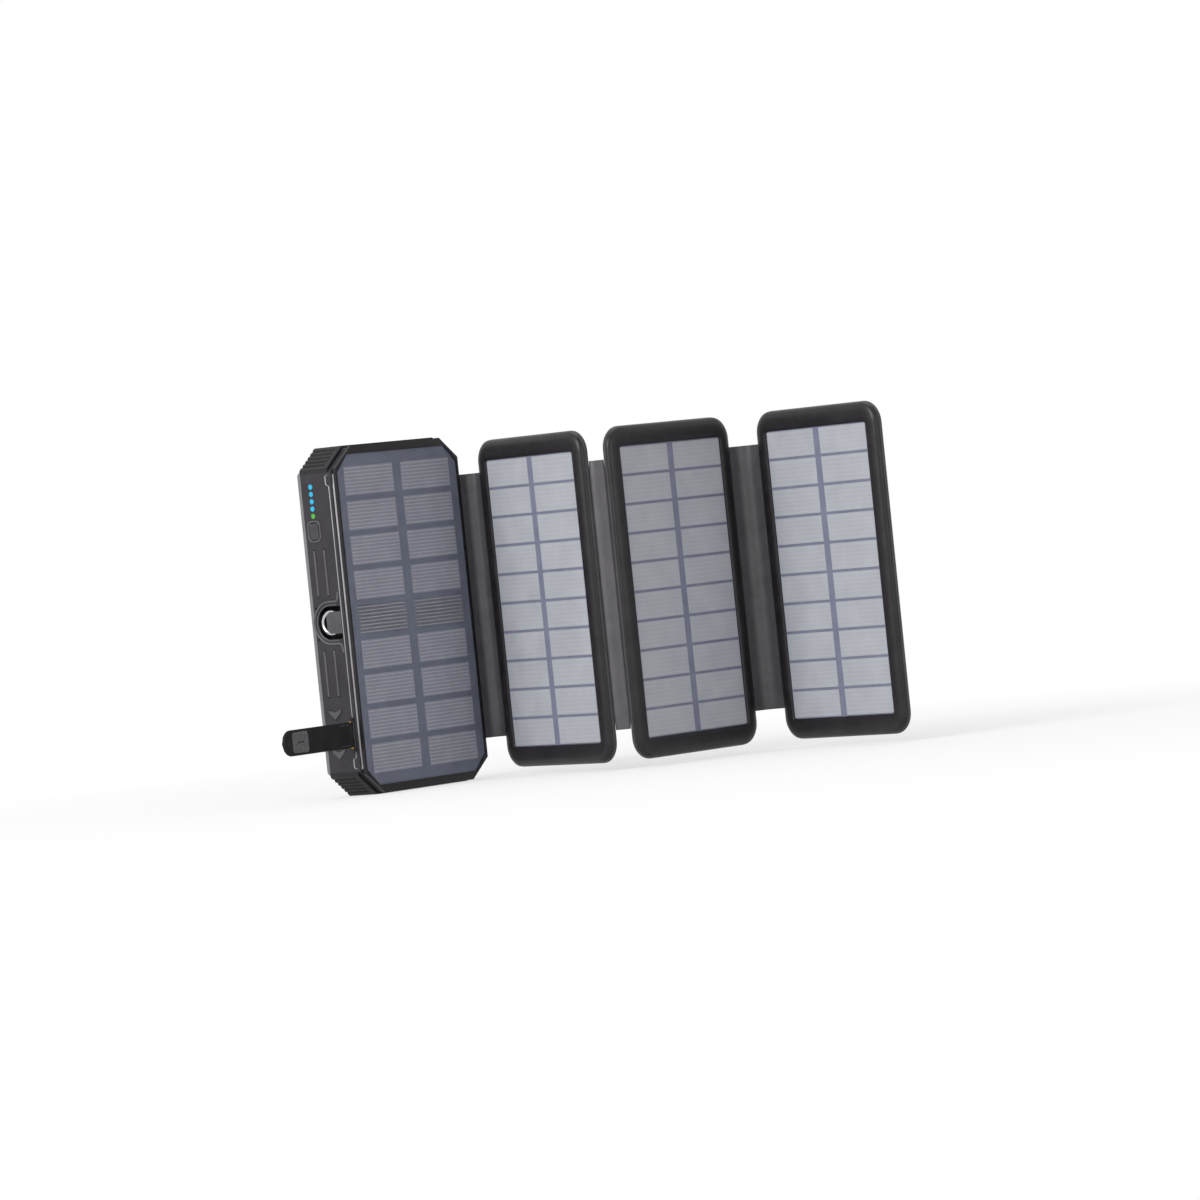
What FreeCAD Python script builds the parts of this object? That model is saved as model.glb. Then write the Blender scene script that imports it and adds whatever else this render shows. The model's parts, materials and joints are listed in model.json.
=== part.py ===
"""Fold-out solar charger: a rugged battery unit with three hinged solar panels.

Local frame of the battery unit: X along its width, Y from its solar face (y = 0)
to its back, Z along its length from the middle.  The object's own frame has the
same directions, with the origin in the middle of the bottom end.
"""
import FreeCAD, Part
import Sketcher
import math
import os
from FreeCAD import Placement, Rotation, Vector

# ---------------------------------------------------------------- driving sizes
SIZES = (
    # battery unit
    ("unit_width", 85.4), ("unit_height", 158.0), ("unit_depth", 24.2),
    ("corner_across", 11.5), ("corner_along", 9.4), ("bumper_proud", 1.0),
    ("casing_wall", 3.6), ("bezel_depth", 1.6), ("tray_depth", 1.4), ("cover_rim", 3.0),
    ("cover_wall", 1.8), ("cover_bevel", 1.4), ("front_bevel", 1.3), ("front_bevel_run", 3.0),
    ("fit_gap", 0.25), ("running_gap", 0.4),
    # solar glass of the battery unit
    ("glass_side", 1.7), ("glass_end", 4.2), ("glass_corner", 7.6), ("glass_sunk", 0.2),
    ("glass_depth", 0.45), ("cell_depth", 0.2), ("backing_depth", 0.3),
    ("main_cell_width", 33.2), ("main_cell_height", 13.1), ("main_column_gap", 5.6),
    ("main_row_pitch", 15.7), ("main_rows", 9),
    # side face
    ("light_radius", 1.15), ("light_pitch", 3.3), ("light_top", 61.8), ("light_back", 8.7),
    ("light_proud", 0.2), ("light_length", 6.0), ("key_back", 8.4), ("key_level", 41.7),
    ("key_wide", 5.5), ("key_tall", 7.5), ("key_length", 3.6), ("key_proud", 0.5),
    ("groove_wide", 1.3), ("groove_deep", 0.8),
    ("groove_near", 12.0), ("groove_far", 33.5), ("groove_first", 7.0), ("groove_second", 13.0),
    ("notch_wide", 1.5), ("notch_deep", 0.8), ("arrow_wide", 8.0), ("arrow_tall", 5.0),
    ("arrow_pitch", 8.9), ("arrow_first", 41.4), ("arrow_back", 10.0), ("arrow_proud", 0.5),
    # lanyard bay
    ("bay_half", 7.5), ("bay_deep", 6.9), ("bay_back", 4.2), ("bay_front", 19.0),
    ("bay_wall", 1.1), ("tongue_half", 5.0), ("tongue_thick", 1.6), ("tongue_back", 10.0),
    # closing strap
    ("strap_level", 50.9), ("strap_wide", 11.7), ("strap_thick", 1.2), ("strap_length", 46.0),
    ("strap_axis_out", 1.6), ("strap_axis_deep", 4.9), ("pin_radius", 0.8),
    ("barrel_radius", 1.4), ("lug_thick", 1.6), ("pad_thick", 0.4), ("pad_wide", 10.4),
    ("pad_length", 10.6), ("closing_gap", 0.4), ("strap_end", 1.0),
    # top end
    ("port_half", 21.8), ("port_plate", 0.8), ("plug_half", 17.0), ("plug_front", 6.2),
    ("plug_back", 18.0), ("usb_width", 13.1), ("usb_high", 5.7), ("usb_length", 14.0),
    ("usb_shell", 0.35), ("usb_place", -8.0), ("type_width", 8.9), ("type_high", 3.2),
    ("type_length", 7.4), ("type_place", 10.0), ("socket_sunk", 3.6),
    # inner parts
    ("board_front", 11.4), ("board_thick", 1.6), ("board_low", 47.0), ("board_half", 27.5),
    ("boss_radius", 2.2), ("boss_place", 24.5), ("battery_half", 34.0), ("battery_low", 68.0),
    ("battery_top", 44.0), ("battery_thick", 6.0), ("coil_radius", 20.0), ("coil_hole", 9.0),
    ("coil_level", 28.5), ("coil_thick", 1.2), ("ferrite_half", 21.0), ("ferrite_thick", 1.0),
    ("side_board_thick", 1.0), ("side_board_low", 36.0), ("side_board_wide", 9.0),
    ("switch_thick", 2.0), ("switch_side", 4.6),
    # rear face
    ("lamp_top", 67.6), ("lamp_side", 58.3), ("lamp_point", 53.0), ("lamp_top_half", 22.5),
    ("lamp_half", 24.5), ("lamp_proud", 0.2), ("lamp_board_thick", 1.0), ("lamp_led", 3.0),
    ("charge_half", 22.0), ("charge_top", 50.0), ("charge_side", 10.5), ("charge_point", 5.5),
    ("charge_deep", 0.5), ("grip_inner", 32.0), ("grip_outer", 41.0), ("grip_top", 37.0),
    ("grip_low", 30.0), ("grip_slope", 12.5), ("grip_deep", 0.6), ("grip_thick", 0.9),
    ("patch_place", 34.0), ("patch_top", 57.0), ("patch_low", 52.5), ("patch_half", 6.2),
    ("patch_rise", 3.6), ("patch_tip", 2.6),
    # charging leads
    ("lead_pitch", 12.5), ("lead_wide", 4.65), ("lead_thick", 2.2), ("lead_sunk", 0.2),
    ("lead_axis_low", 73.6), ("slot_wide", 5.6), ("slot_deep", 2.5), ("nook_wide", 11.7), ("nook_top", 2.2),
    ("recess_top", 25.6), ("recess_low", 40.0), ("recess_half", 25.0), ("tub_deep", 7.0),
    ("tub_floor", 1.0), ("plug_wide", 10.5), ("plug_thick", 4.6), ("plug_start", 24.9),
    ("plug_end", 12.1), ("tip_end", 6.2), ("flat_plug_end", 18.8), ("flat_tip_end", 7.4),
    ("root_gap", 0.35), ("root_run", 9.0), ("root_sunk", 0.1), ("groove_floor", 0.3),
    # solar panels
    ("panel_width", 83.0), ("panel_height", 150.5), ("panel_depth", 5.6), ("panel_corner", 10.0),
    ("panel_round", 2.2), ("frame_depth", 2.6), ("window_width", 68.6), ("window_height", 131.9),
    ("sheet_sunk", 0.9), ("panel_column_gap", 4.0), ("panel_cell_gap", 1.25), ("panel_rows", 10),
    ("cell_margin", 0.5),
    # fold joints
    ("web_height", 121.5), ("web_thick", 1.0), ("web_end", 1.1), ("web_outer_end", 0.6),
    ("axis_out", 0.8),
    ("main_web_deep", 3.0), ("panel_web_deep", 5.0), ("first_link", 7.7), ("spine_link", 4.9),
    ("third_link", 10.2), ("face_gap", 0.9),
    ("first_fold", 104.9), ("second_fold", 102.6), ("third_fold", 98.5),
)

doc = FreeCAD.newDocument("FoldOutSolarCharger")
sheet = doc.addObject("Spreadsheet::Sheet", "Sizes")
for row, (alias, number) in enumerate(SIZES, start=1):
    sheet.set(f"A{row}", alias)
    sheet.set(f"B{row}", str(number))
    sheet.setAlias(f"B{row}", alias)
doc.recompute()

PARTS = []
PLANES = {"XZ": "XZ_Plane", "YZ": "YZ_Plane", "XY": "XY_Plane"}


def size(alias):
    """Return one driving size as a number."""
    return float(sheet.get(alias))


def bound(text):
    """Turn 'unit_width / 2' into an expression on the sheet's cells."""
    words = []
    for word in text.replace("(", " ( ").replace(")", " ) ").split():
        words.append("Sizes." + word if word[0].isalpha() else word)
    return " ".join(words)


def body(label):
    """Start a body that stands in the battery unit's local frame."""
    made = doc.addObject("PartDesign::Body", "Body_" + label)
    made.Label = label
    made.setExpression("Placement.Base.y", bound("- unit_depth / 2"))
    made.setExpression("Placement.Base.z", bound("unit_height / 2"))
    PARTS.append(made)
    return made


def sketch(owner, plane, level, outlines, circles=()):
    """Draw closed outlines and circles on one of the body's own planes.

    Every corner is a pair of expressions measured from the body's origin.
    """
    drawn = owner.newObject("Sketcher::SketchObject", "Sketch_" + owner.Label)
    for feature in owner.Origin.OriginFeatures:
        if feature.Role == PLANES[plane]:
            drawn.AttachmentSupport = (feature, "")
    drawn.MapMode = "FlatFace"
    sign = "-1" if plane == "XZ" else "1"
    drawn.setExpression("AttachmentOffset.Base.z", bound(f"{sign} * ( {level} )"))
    for corners in outlines:
        first = drawn.GeometryCount
        count = len(corners)
        ring = []
        for step in range(count):
            turn = 2 * math.pi * step / count
            ring.append(Vector(50 * math.cos(turn), 50 * math.sin(turn), 0))
        for step in range(count):
            drawn.addGeometry(Part.LineSegment(ring[step], ring[(step + 1) % count]))
        for step in range(count):
            following = first + (step + 1) % count
            drawn.addConstraint(Sketcher.Constraint("Coincident", first + step, 2, following, 1))
        for step, (across, up) in enumerate(corners):
            for kind, text in (("DistanceX", across), ("DistanceY", up)):
                index = drawn.addConstraint(
                    Sketcher.Constraint(kind, -1, 1, first + step, 1, 10.0))
                drawn.setExpression(f"Constraints[{index}]", bound(text))
    for across, up, radius in circles:
        index = drawn.addGeometry(Part.Circle(Vector(5, 5, 0), Vector(0, 0, 1), 3))
        for kind, text in (("DistanceX", across), ("DistanceY", up)):
            place = drawn.addConstraint(Sketcher.Constraint(kind, -1, 1, index, 3, 5.0))
            drawn.setExpression(f"Constraints[{place}]", bound(text))
        place = drawn.addConstraint(Sketcher.Constraint("Radius", index, 3.0))
        drawn.setExpression(f"Constraints[{place}]", bound(radius))
    return drawn


def pad(owner, plane, level, length, outlines, circles=()):
    """Add material from `level` towards the plane's positive axis."""
    drawn = sketch(owner, plane, level, outlines, circles)
    made = owner.newObject("PartDesign::Pad", "Pad_" + owner.Label)
    made.Profile = drawn
    made.Reversed = plane == "XZ"
    made.setExpression("Length", bound(length))
    doc.recompute()
    return made


def pocket(owner, plane, level, length, outlines, circles=()):
    """Cut material from `level` towards the plane's positive axis."""
    before = owner.Shape.Volume
    drawn = sketch(owner, plane, level, outlines, circles)
    made = owner.newObject("PartDesign::Pocket", "Pocket_" + owner.Label)
    made.Profile = drawn
    made.Reversed = plane != "XZ"
    made.setExpression("Length", bound(length))
    doc.recompute()
    if not owner.Shape.Volume < before:
        raise RuntimeError(f"{owner.Label}: a pocket cut nothing")
    return made


def dress(owner, kind, amount, chosen):
    """Fillet or chamfer the edges of the body that `chosen` accepts."""
    names = []
    for number, edge in enumerate(owner.Tip.Shape.Edges, start=1):
        if chosen(edge):
            names.append(f"Edge{number}")
    base = owner.Tip
    made = owner.newObject("PartDesign::" + kind, kind + "_" + owner.Label)
    made.Base = (base, names)
    made.setExpression("Radius" if kind == "Fillet" else "Size", bound(amount))
    doc.recompute()
    return made


def lies_at(edge, axis, value, slack=0.01):
    """Tell whether an edge lies wholly in the plane axis = value."""
    box = edge.BoundBox
    low = {"x": box.XMin, "y": box.YMin, "z": box.ZMin}[axis]
    high = {"x": box.XMax, "y": box.YMax, "z": box.ZMax}[axis]
    return abs(low - value) < slack and abs(high - value) < slack


def outermost(edge, across, up):
    """Tell whether an edge touches the outer limits of a plate about the origin."""
    bounds = edge.BoundBox
    wide = max(abs(bounds.XMin), abs(bounds.XMax))
    tall = max(abs(bounds.ZMin), abs(bounds.ZMax))
    return wide > across - 0.01 or tall > up - 0.01


def octagon(half_width, half_height, across, along):
    """Corners of a rectangle with cut corners, about the origin."""
    corners = []
    for sx, sz, swap in (("1", "1", 0), ("-1", "1", 1), ("-1", "-1", 0), ("1", "-1", 1)):
        side = (f"{sx} * ( {half_width} )", f"{sz} * ( {half_height} - ( {along} ) )")
        end = (f"{sx} * ( {half_width} - ( {across} ) )", f"{sz} * ( {half_height} )")
        corners.extend((end, side) if swap else (side, end))
    return corners


def box(left, right, low, high):
    """Corners of an upright rectangle."""
    return [(left, low), (right, low), (right, high), (left, high)]


def mirrored(corners):
    """The same outline on the other side of the vertical axis."""
    return [(f"-1 * ( {across} )", up) for across, up in reversed(corners)]


HALF_W = "unit_width / 2"
BODY_H = "unit_height / 2 - bumper_proud"
OUTER = octagon(HALF_W, BODY_H, "corner_across + bumper_proud", "corner_along + bumper_proud")
INNER = octagon(HALF_W + " - casing_wall", BODY_H + " - casing_wall",
                "corner_across", "corner_along")
WINDOW = octagon(HALF_W + " - glass_side", "unit_height / 2 - glass_end",
                 "glass_corner", "glass_corner")
CASING_BACK = "unit_depth - cover_rim"
SIDE = "- unit_width / 2"
STACK = "glass_sunk + glass_depth + cell_depth"


# ---------------------------------------------------------------- battery unit
def side_casing():
    """Closed wall around the unit with grooves, arrows and the side openings."""
    casing = body("side_casing")
    pad(casing, "XZ", "bezel_depth", "unit_depth - cover_rim - bezel_depth", [OUTER])
    pocket(casing, "XZ", "bezel_depth", "unit_depth - cover_rim - bezel_depth", [INNER])
    front = size("bezel_depth")
    edge_x = size("unit_width") / 2
    edge_z = size("unit_height") / 2 - size("bumper_proud")
    bevel = dress(casing, "Chamfer", "front_bevel_run", lambda edge: lies_at(edge, "y", front)
                  and outermost(edge, edge_x, edge_z) and not lies_at(edge, "x", edge_x))
    bevel.ChamferType = "Two distances"
    bevel.setExpression("Size2", bound("front_bevel"))
    doc.recompute()
    grooves = []
    for back in ("groove_first", "groove_second"):
        left = f"unit_depth - {back} - groove_wide / 2"
        right = f"unit_depth - {back} + groove_wide / 2"
        grooves.append(box(left, right, "groove_near", "groove_far"))
        grooves.append(box(left, right, "- groove_far", "- groove_near"))
    pocket(casing, "YZ", SIDE, "groove_deep", grooves)
    key = box("unit_depth - key_back - key_wide / 2 - fit_gap",
              "unit_depth - key_back + key_wide / 2 + fit_gap",
              "key_level - key_tall / 2 - fit_gap", "key_level + key_tall / 2 + fit_gap")
    lights = []
    for number in range(5):
        lights.append(("unit_depth - light_back", f"light_top - {number} * light_pitch",
                       "light_radius"))
    pocket(casing, "YZ", SIDE, "casing_wall", [key], lights)
    bay = box("unit_depth - bay_front - bay_wall", "unit_depth - bay_back + bay_wall",
              "- bay_half - bay_wall", "bay_half + bay_wall")
    pocket(casing, "YZ", SIDE, "casing_wall", [bay])
    port = box("- plug_half - running_gap", "plug_half + running_gap",
               "plug_front - running_gap", "plug_back + running_gap")
    pocket(casing, "XY", BODY_H + " - casing_wall", "casing_wall", [port])
    arrows = []
    for number in range(3):
        if number == 1:
            continue
        level = f"- arrow_first - {number} * arrow_pitch"
        middle = "unit_depth - arrow_back"
        arrows.append([(f"{middle} - arrow_wide / 2", f"{level} + arrow_tall / 2"),
                       (middle, f"{level} - arrow_tall / 2"),
                       (f"{middle} + arrow_wide / 2", f"{level} + arrow_tall / 2"),
                       (middle, f"{level} - arrow_tall / 6")])
    pad(casing, "YZ", SIDE + " - arrow_proud", "arrow_proud + groove_deep", arrows)
    lugs = []
    for sign in ("1", "-1"):
        middle = f"- strap_level + {sign} * ( strap_wide / 2 + lug_thick / 2 + fit_gap )"
        lugs.append(box("strap_axis_deep - barrel_radius", "strap_axis_deep + barrel_radius",
                        f"{middle} - lug_thick / 2", f"{middle} + lug_thick / 2"))
    pad(casing, "YZ", SIDE + " - strap_axis_out - barrel_radius",
        "strap_axis_out + barrel_radius + groove_deep", lugs)
    dress(casing, "Fillet", "barrel_radius * 0.9", lambda edge: lies_at(
        edge, "x", -edge_x - size("strap_axis_out") - size("barrel_radius"))
        and edge.Length < size("lug_thick") + 0.1)
    low = "- strap_level - strap_wide / 2 - lug_thick - fit_gap"
    pocket(casing, "XY", low, "strap_wide + 2 * lug_thick + 2 * fit_gap", [],
           [(SIDE + " - strap_axis_out", "strap_axis_deep", "pin_radius")])
    return casing


def lanyard_bay():
    """Open cup in the casing's side and the tongue that a lanyard loops around."""
    cup = body("lanyard_cup")
    left = "unit_depth - bay_front - bay_wall"
    right = "unit_depth - bay_back + bay_wall"
    pad(cup, "YZ", SIDE, "bay_deep + bay_wall",
        [box(left, right, "- bay_half - bay_wall", "bay_half + bay_wall")])
    pocket(cup, "YZ", SIDE, "bay_deep",
           [box("unit_depth - bay_front", "unit_depth - bay_back", "- bay_half", "bay_half")])
    tongue = body("lanyard_tongue")
    pad(tongue, "YZ", SIDE + " + groove_deep / 4", "tongue_thick",
        [box("unit_depth - bay_front", "unit_depth - tongue_back",
             "- tongue_half", "tongue_half")])
    back = size("unit_depth") - size("tongue_back")
    dress(tongue, "Fillet", "tongue_half * 0.6", lambda edge: abs(
        edge.CenterOfMass.y - back) < 0.01 and abs(edge.Length - size("tongue_thick")) < 0.01)


def bumpers(label, sign):
    """Two ribbed rubber corners at one end of the unit."""
    made = body(label)
    start = "port_half + fit_gap"
    right = [(start, f"{sign} * ( {BODY_H} )"),
             (f"{start} + bumper_proud", f"{sign} * unit_height / 2"),
             (f"{HALF_W} - corner_across", f"{sign} * unit_height / 2"),
             (HALF_W, f"{sign} * ( unit_height / 2 - corner_along )"),
             (HALF_W, f"{sign} * ( {BODY_H} - corner_along - bumper_proud )"),
             (f"{HALF_W} - corner_across - bumper_proud", f"{sign} * ( {BODY_H} )")]
    if sign == "-1":
        right.reverse()
    run = "unit_depth - cover_rim - bezel_depth - front_bevel_run"
    pad(made, "XZ", "bezel_depth + front_bevel_run", run, [right])
    notches = []
    for step in (0.16, 0.33, 0.50, 0.67, 0.84):
        across = f"{HALF_W} - corner_across * {1 - step}"
        up = f"unit_height / 2 - corner_along * {step}"
        half = "notch_wide / 2"
        corners = [(f"{across} - {half} * 0.77", f"{sign} * ( {up} + {half} * 0.63 )"),
                   (f"{across} - notch_deep * 0.63", f"{sign} * ( {up} - notch_deep * 0.77 )"),
                   (f"{across} + {half} * 0.77", f"{sign} * ( {up} - {half} * 0.63 )"),
                   (f"{across} + 1", f"{sign} * ( {up} + 1 )")]
        notches.append(corners)
    pocket(made, "XZ", "unit_depth - 17", "17 - cover_rim", notches)
    mirror_body(made)


def mirror_body(made):
    """Add the copy of a body on the other side of its YZ plane."""
    features = [item for item in made.Group if item.TypeId in
                ("PartDesign::Pad", "PartDesign::Pocket")]
    mirror = made.newObject("PartDesign::Mirrored", "Mirrored_" + made.Label)
    mirror.Originals = features
    for feature in made.Origin.OriginFeatures:
        if feature.Role == "YZ_Plane":
            mirror.MirrorPlane = (feature, [""])
    made.Tip = mirror
    doc.recompute()


def front_bezel():
    """Black front frame with the tray that backs the solar glass."""
    bezel = body("front_bezel")
    outline = octagon(HALF_W + " - front_bevel / 2", BODY_H + " + bumper_proud / 2",
                      "corner_across", "corner_along")
    pad(bezel, "XZ", "0", "bezel_depth", [outline])
    pocket(bezel, "XZ", "0", STACK + " + backing_depth", [WINDOW])
    pad(bezel, "XZ", "bezel_depth", "tray_depth", [INNER])
    posts = []
    for sx in ("-1", "1"):
        for up in ("board_low + 4", "board_low + 20"):
            posts.append((f"{sx} * boss_place", up, "boss_radius"))
    pad(bezel, "XZ", "bezel_depth + tray_depth", "board_front - bezel_depth - tray_depth",
        [], posts)


def solar_stack():
    """Back sheet, cells and glass of the battery unit's own solar panel."""
    backing = body("main_back_sheet")
    pad(backing, "XZ", STACK, "backing_depth", [WINDOW])
    glass = body("main_solar_glass")
    pad(glass, "XZ", "glass_sunk", "glass_depth", [WINDOW])
    cells = doc.addObject("Part::Compound", "main_solar_cells")
    cells.Label = "main_solar_cells"
    links = []
    for column in (-1, 1):
        for row in range(int(size("main_rows"))):
            cell = doc.addObject("Part::Box", f"MainCell_{column + 1}_{row}")
            cell.setExpression("Length", bound("main_cell_width"))
            cell.setExpression("Width", bound("cell_depth"))
            cell.setExpression("Height", bound("main_cell_height"))
            place = f"{column} * ( main_column_gap / 2 + main_cell_width / 2 )"
            cell.setExpression("Placement.Base.x", bound(f"{place} - main_cell_width / 2"))
            cell.setExpression("Placement.Base.y", bound("glass_sunk + glass_depth"))
            middle = f"( {row} - ( main_rows - 1 ) / 2 ) * main_row_pitch"
            cell.setExpression("Placement.Base.z", bound(f"{middle} - main_cell_height / 2"))
            links.append(cell)
    cells.Links = links
    cells.setExpression("Placement.Base.y", bound("- unit_depth / 2"))
    cells.setExpression("Placement.Base.z", bound("unit_height / 2"))
    PARTS.append(cells)


def shield(half_top, half_side, top, side, point):
    """Five-sided shield outline, point down."""
    return [(f"-1 * {half_top}", top), (f"-1 * {half_side}", side), ("0", point),
            (half_side, side), (half_top, top)]


LAMP = shield("lamp_top_half", "lamp_half", "lamp_top", "lamp_side", "lamp_point")
CHARGE = shield("charge_half", "charge_half", "charge_top", "charge_side", "charge_point")
LEADS = (-1.5, -0.5, 0.5, 1.5)


def nook(place):
    """Outline of the bay for one plug, with a cut dome at its top."""
    middle = f"{place} * lead_pitch"
    return [(f"{middle} - nook_wide / 2", "- recess_top - 0.1"),
            (f"{middle} + nook_wide / 2", "- recess_top - 0.1"),
            (f"{middle} + nook_wide / 2", "- nook_top - 2.5"),
            (f"{middle} + nook_wide / 4", "- nook_top"),
            (f"{middle} - nook_wide / 4", "- nook_top"),
            (f"{middle} - nook_wide / 2", "- nook_top - 2.5")]


def grip_outline():
    """Trapezoid grip pad beside one long edge."""
    return [("grip_inner", "- grip_low"), ("grip_outer", "- grip_low - grip_slope"),
            ("grip_outer", "grip_top + grip_slope"), ("grip_inner", "grip_top")]


def patch_outline(level):
    """Six-sided grip patch near one corner."""
    return [("patch_place - patch_half - patch_tip", level),
            ("patch_place - patch_half", f"{level} - patch_rise"),
            ("patch_place + patch_half - patch_tip", f"{level} - patch_rise"),
            ("patch_place + patch_half", level),
            ("patch_place + patch_half - patch_tip", f"{level} + patch_rise"),
            ("patch_place - patch_half", f"{level} + patch_rise")]


def rear_cover():
    """Back cover: rim, lamp window, charging pad recess, lead slots and grip seats."""
    cover = body("rear_cover")
    pad(cover, "XZ", CASING_BACK, "cover_rim", [OUTER])
    back = size("unit_depth")
    dress(cover, "Chamfer", "cover_bevel", lambda edge: lies_at(edge, "y", back))
    pocket(cover, "XZ", CASING_BACK, "cover_rim - cover_wall", [INNER])
    wall = "unit_depth - cover_wall"
    pocket(cover, "XZ", wall, "cover_wall", [LAMP])
    pocket(cover, "XZ", "unit_depth - charge_deep", "charge_deep", [CHARGE])
    seats = [grip_outline(), mirrored(grip_outline())]
    for level in ("patch_top", "- patch_low"):
        seats.append(patch_outline(level))
        seats.append(mirrored(patch_outline(level)))
    pocket(cover, "XZ", "unit_depth - grip_deep", "grip_deep", seats)
    pocket(cover, "XZ", wall, "cover_wall",
           [box("- recess_half", "recess_half", "- recess_low", "- recess_top")])
    for place in LEADS:
        pocket(cover, "XZ", wall, "cover_wall", [nook(place)])
        middle = f"{place} * lead_pitch"
        pocket(cover, "XZ", "unit_depth - slot_deep", "slot_deep",
               [box(f"{middle} - slot_wide / 2", f"{middle} + slot_wide / 2",
                    f"-1 * ( {BODY_H} ) - 1", "- recess_low + 0.1")])


def rear_grips():
    """Textured grip pads in the back cover."""
    pad(body("rear_grip_pads"), "XZ", "unit_depth - grip_deep", "grip_thick",
        [grip_outline(), mirrored(grip_outline())])
    patches = body("rear_grip_patches")
    outlines = []
    for level in ("patch_top", "- patch_low"):
        outlines.append(patch_outline(level))
        outlines.append(mirrored(patch_outline(level)))
    pad(patches, "XZ", "unit_depth - grip_deep", "grip_thick", outlines)


def cable_tub():
    """Black tub behind the cover that holds the four folded leads."""
    tub = body("cable_tub")
    bottom = f"-1 * ( {BODY_H} - casing_wall )"
    deep = "unit_depth - tub_deep - tub_floor"
    pad(tub, "XZ", deep, "tub_deep + tub_floor - cover_wall",
        [box("- recess_half - tub_floor", "recess_half + tub_floor", bottom, "- nook_top + 1")])
    floor = "unit_depth - tub_deep"
    run = "tub_deep - cover_wall"
    pocket(tub, "XZ", floor, run,
           [box("- recess_half", "recess_half", "- recess_low", "- recess_top")])
    for place in LEADS:
        pocket(tub, "XZ", floor, run, [nook(place)])
        middle = f"{place} * lead_pitch"
        pocket(tub, "XZ", "unit_depth - lead_sunk - lead_thick - 2 * fit_gap",
               "lead_thick + lead_sunk + 2 * fit_gap - cover_wall",
               [box(f"{middle} - slot_wide / 2", f"{middle} + slot_wide / 2",
                    bottom, "- recess_low + 0.1")])


def lamp():
    """White lens in the back cover with its light board behind it."""
    lens = body("lamp_lens")
    pad(lens, "XZ", "unit_depth - cover_wall", "cover_wall + lamp_proud", [LAMP])
    board = body("lamp_board")
    back = "unit_depth - cover_wall - 0.8 - lamp_board_thick"
    pad(board, "XZ", back, "lamp_board_thick",
        [box("- lamp_half - 2", "lamp_half + 2", "lamp_point + 1", "lamp_top - 1")])
    stand = []
    for sx in ("-1", "1"):
        stand.append((f"{sx} * ( lamp_half + 1 )", "lamp_point + 2", "0.9"))
    pad(board, "XZ", "unit_depth - cover_wall - 0.8", "0.8", [], stand)
    spots = []
    for number in (-2, -1, 0, 1, 2):
        spots.append(box(f"{number} * 3 * lamp_led - lamp_led / 2",
                         f"{number} * 3 * lamp_led + lamp_led / 2",
                         "lamp_side + 3 - lamp_led / 2", "lamp_side + 3 + lamp_led / 2"))
    pad(board, "XZ", "unit_depth - cover_wall - 0.8", "0.6", spots)


def port_cover():
    """Soft cover over the charging sockets, hinged along its back edge."""
    cover = body("port_cover")
    bottom = BODY_H + " + running_gap / 2"
    pad(cover, "XY", bottom, "port_plate",
        [box("- port_half", "port_half", "bezel_depth + front_bevel_run",
             CASING_BACK + " - fit_gap")])
    pad(cover, "XY", f"{bottom} - casing_wall * 0.7", "casing_wall * 0.7",
        [box("- plug_half", "plug_half", "plug_front", "plug_back")])


def sockets():
    """The two charging sockets on the main board."""
    top = BODY_H + " - socket_sunk"
    usb = body("usb_a_socket")
    left = "usb_place - usb_width / 2"
    right = "usb_place + usb_width / 2"
    pad(usb, "XY", f"{top} - usb_length", "usb_length",
        [box(left, right, "board_front - usb_high", "board_front")])
    pocket(usb, "XY", f"{top} - usb_length + 2", "usb_length - 2",
           [box(f"{left} + usb_shell", f"{right} - usb_shell",
                "board_front - usb_high + usb_shell", "board_front - usb_shell")])
    pad(usb, "XY", f"{top} - usb_length + 1", "usb_length - 2.5",
        [box(f"{left} + usb_shell + 1", f"{right} - usb_shell - 1",
             "board_front - usb_shell - 2", "board_front - usb_shell - 0.1")])
    inlet = body("usb_c_socket")
    left = "type_place - type_width / 2"
    right = "type_place + type_width / 2"
    pad(inlet, "XY", f"{top} - type_length", "type_length",
        [box(left, right, "board_front - type_high", "board_front")])
    dress(inlet, "Fillet", "type_high * 0.45", lambda edge: abs(
        edge.Length - size("type_length")) < 0.01)
    pocket(inlet, "XY", f"{top} - type_length + 1.4", "type_length - 1.4",
           [box(f"{left} + 0.9", f"{right} - 0.9", "board_front - type_high + 0.3",
                "board_front - 0.3")])
    pad(inlet, "XY", f"{top} - type_length + 1", "type_length - 1.8",
        [box(f"{left} + 1.4", f"{right} - 1.4", "board_front - type_high / 2 - 0.35",
             "board_front - type_high / 2 + 0.35")])


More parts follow.
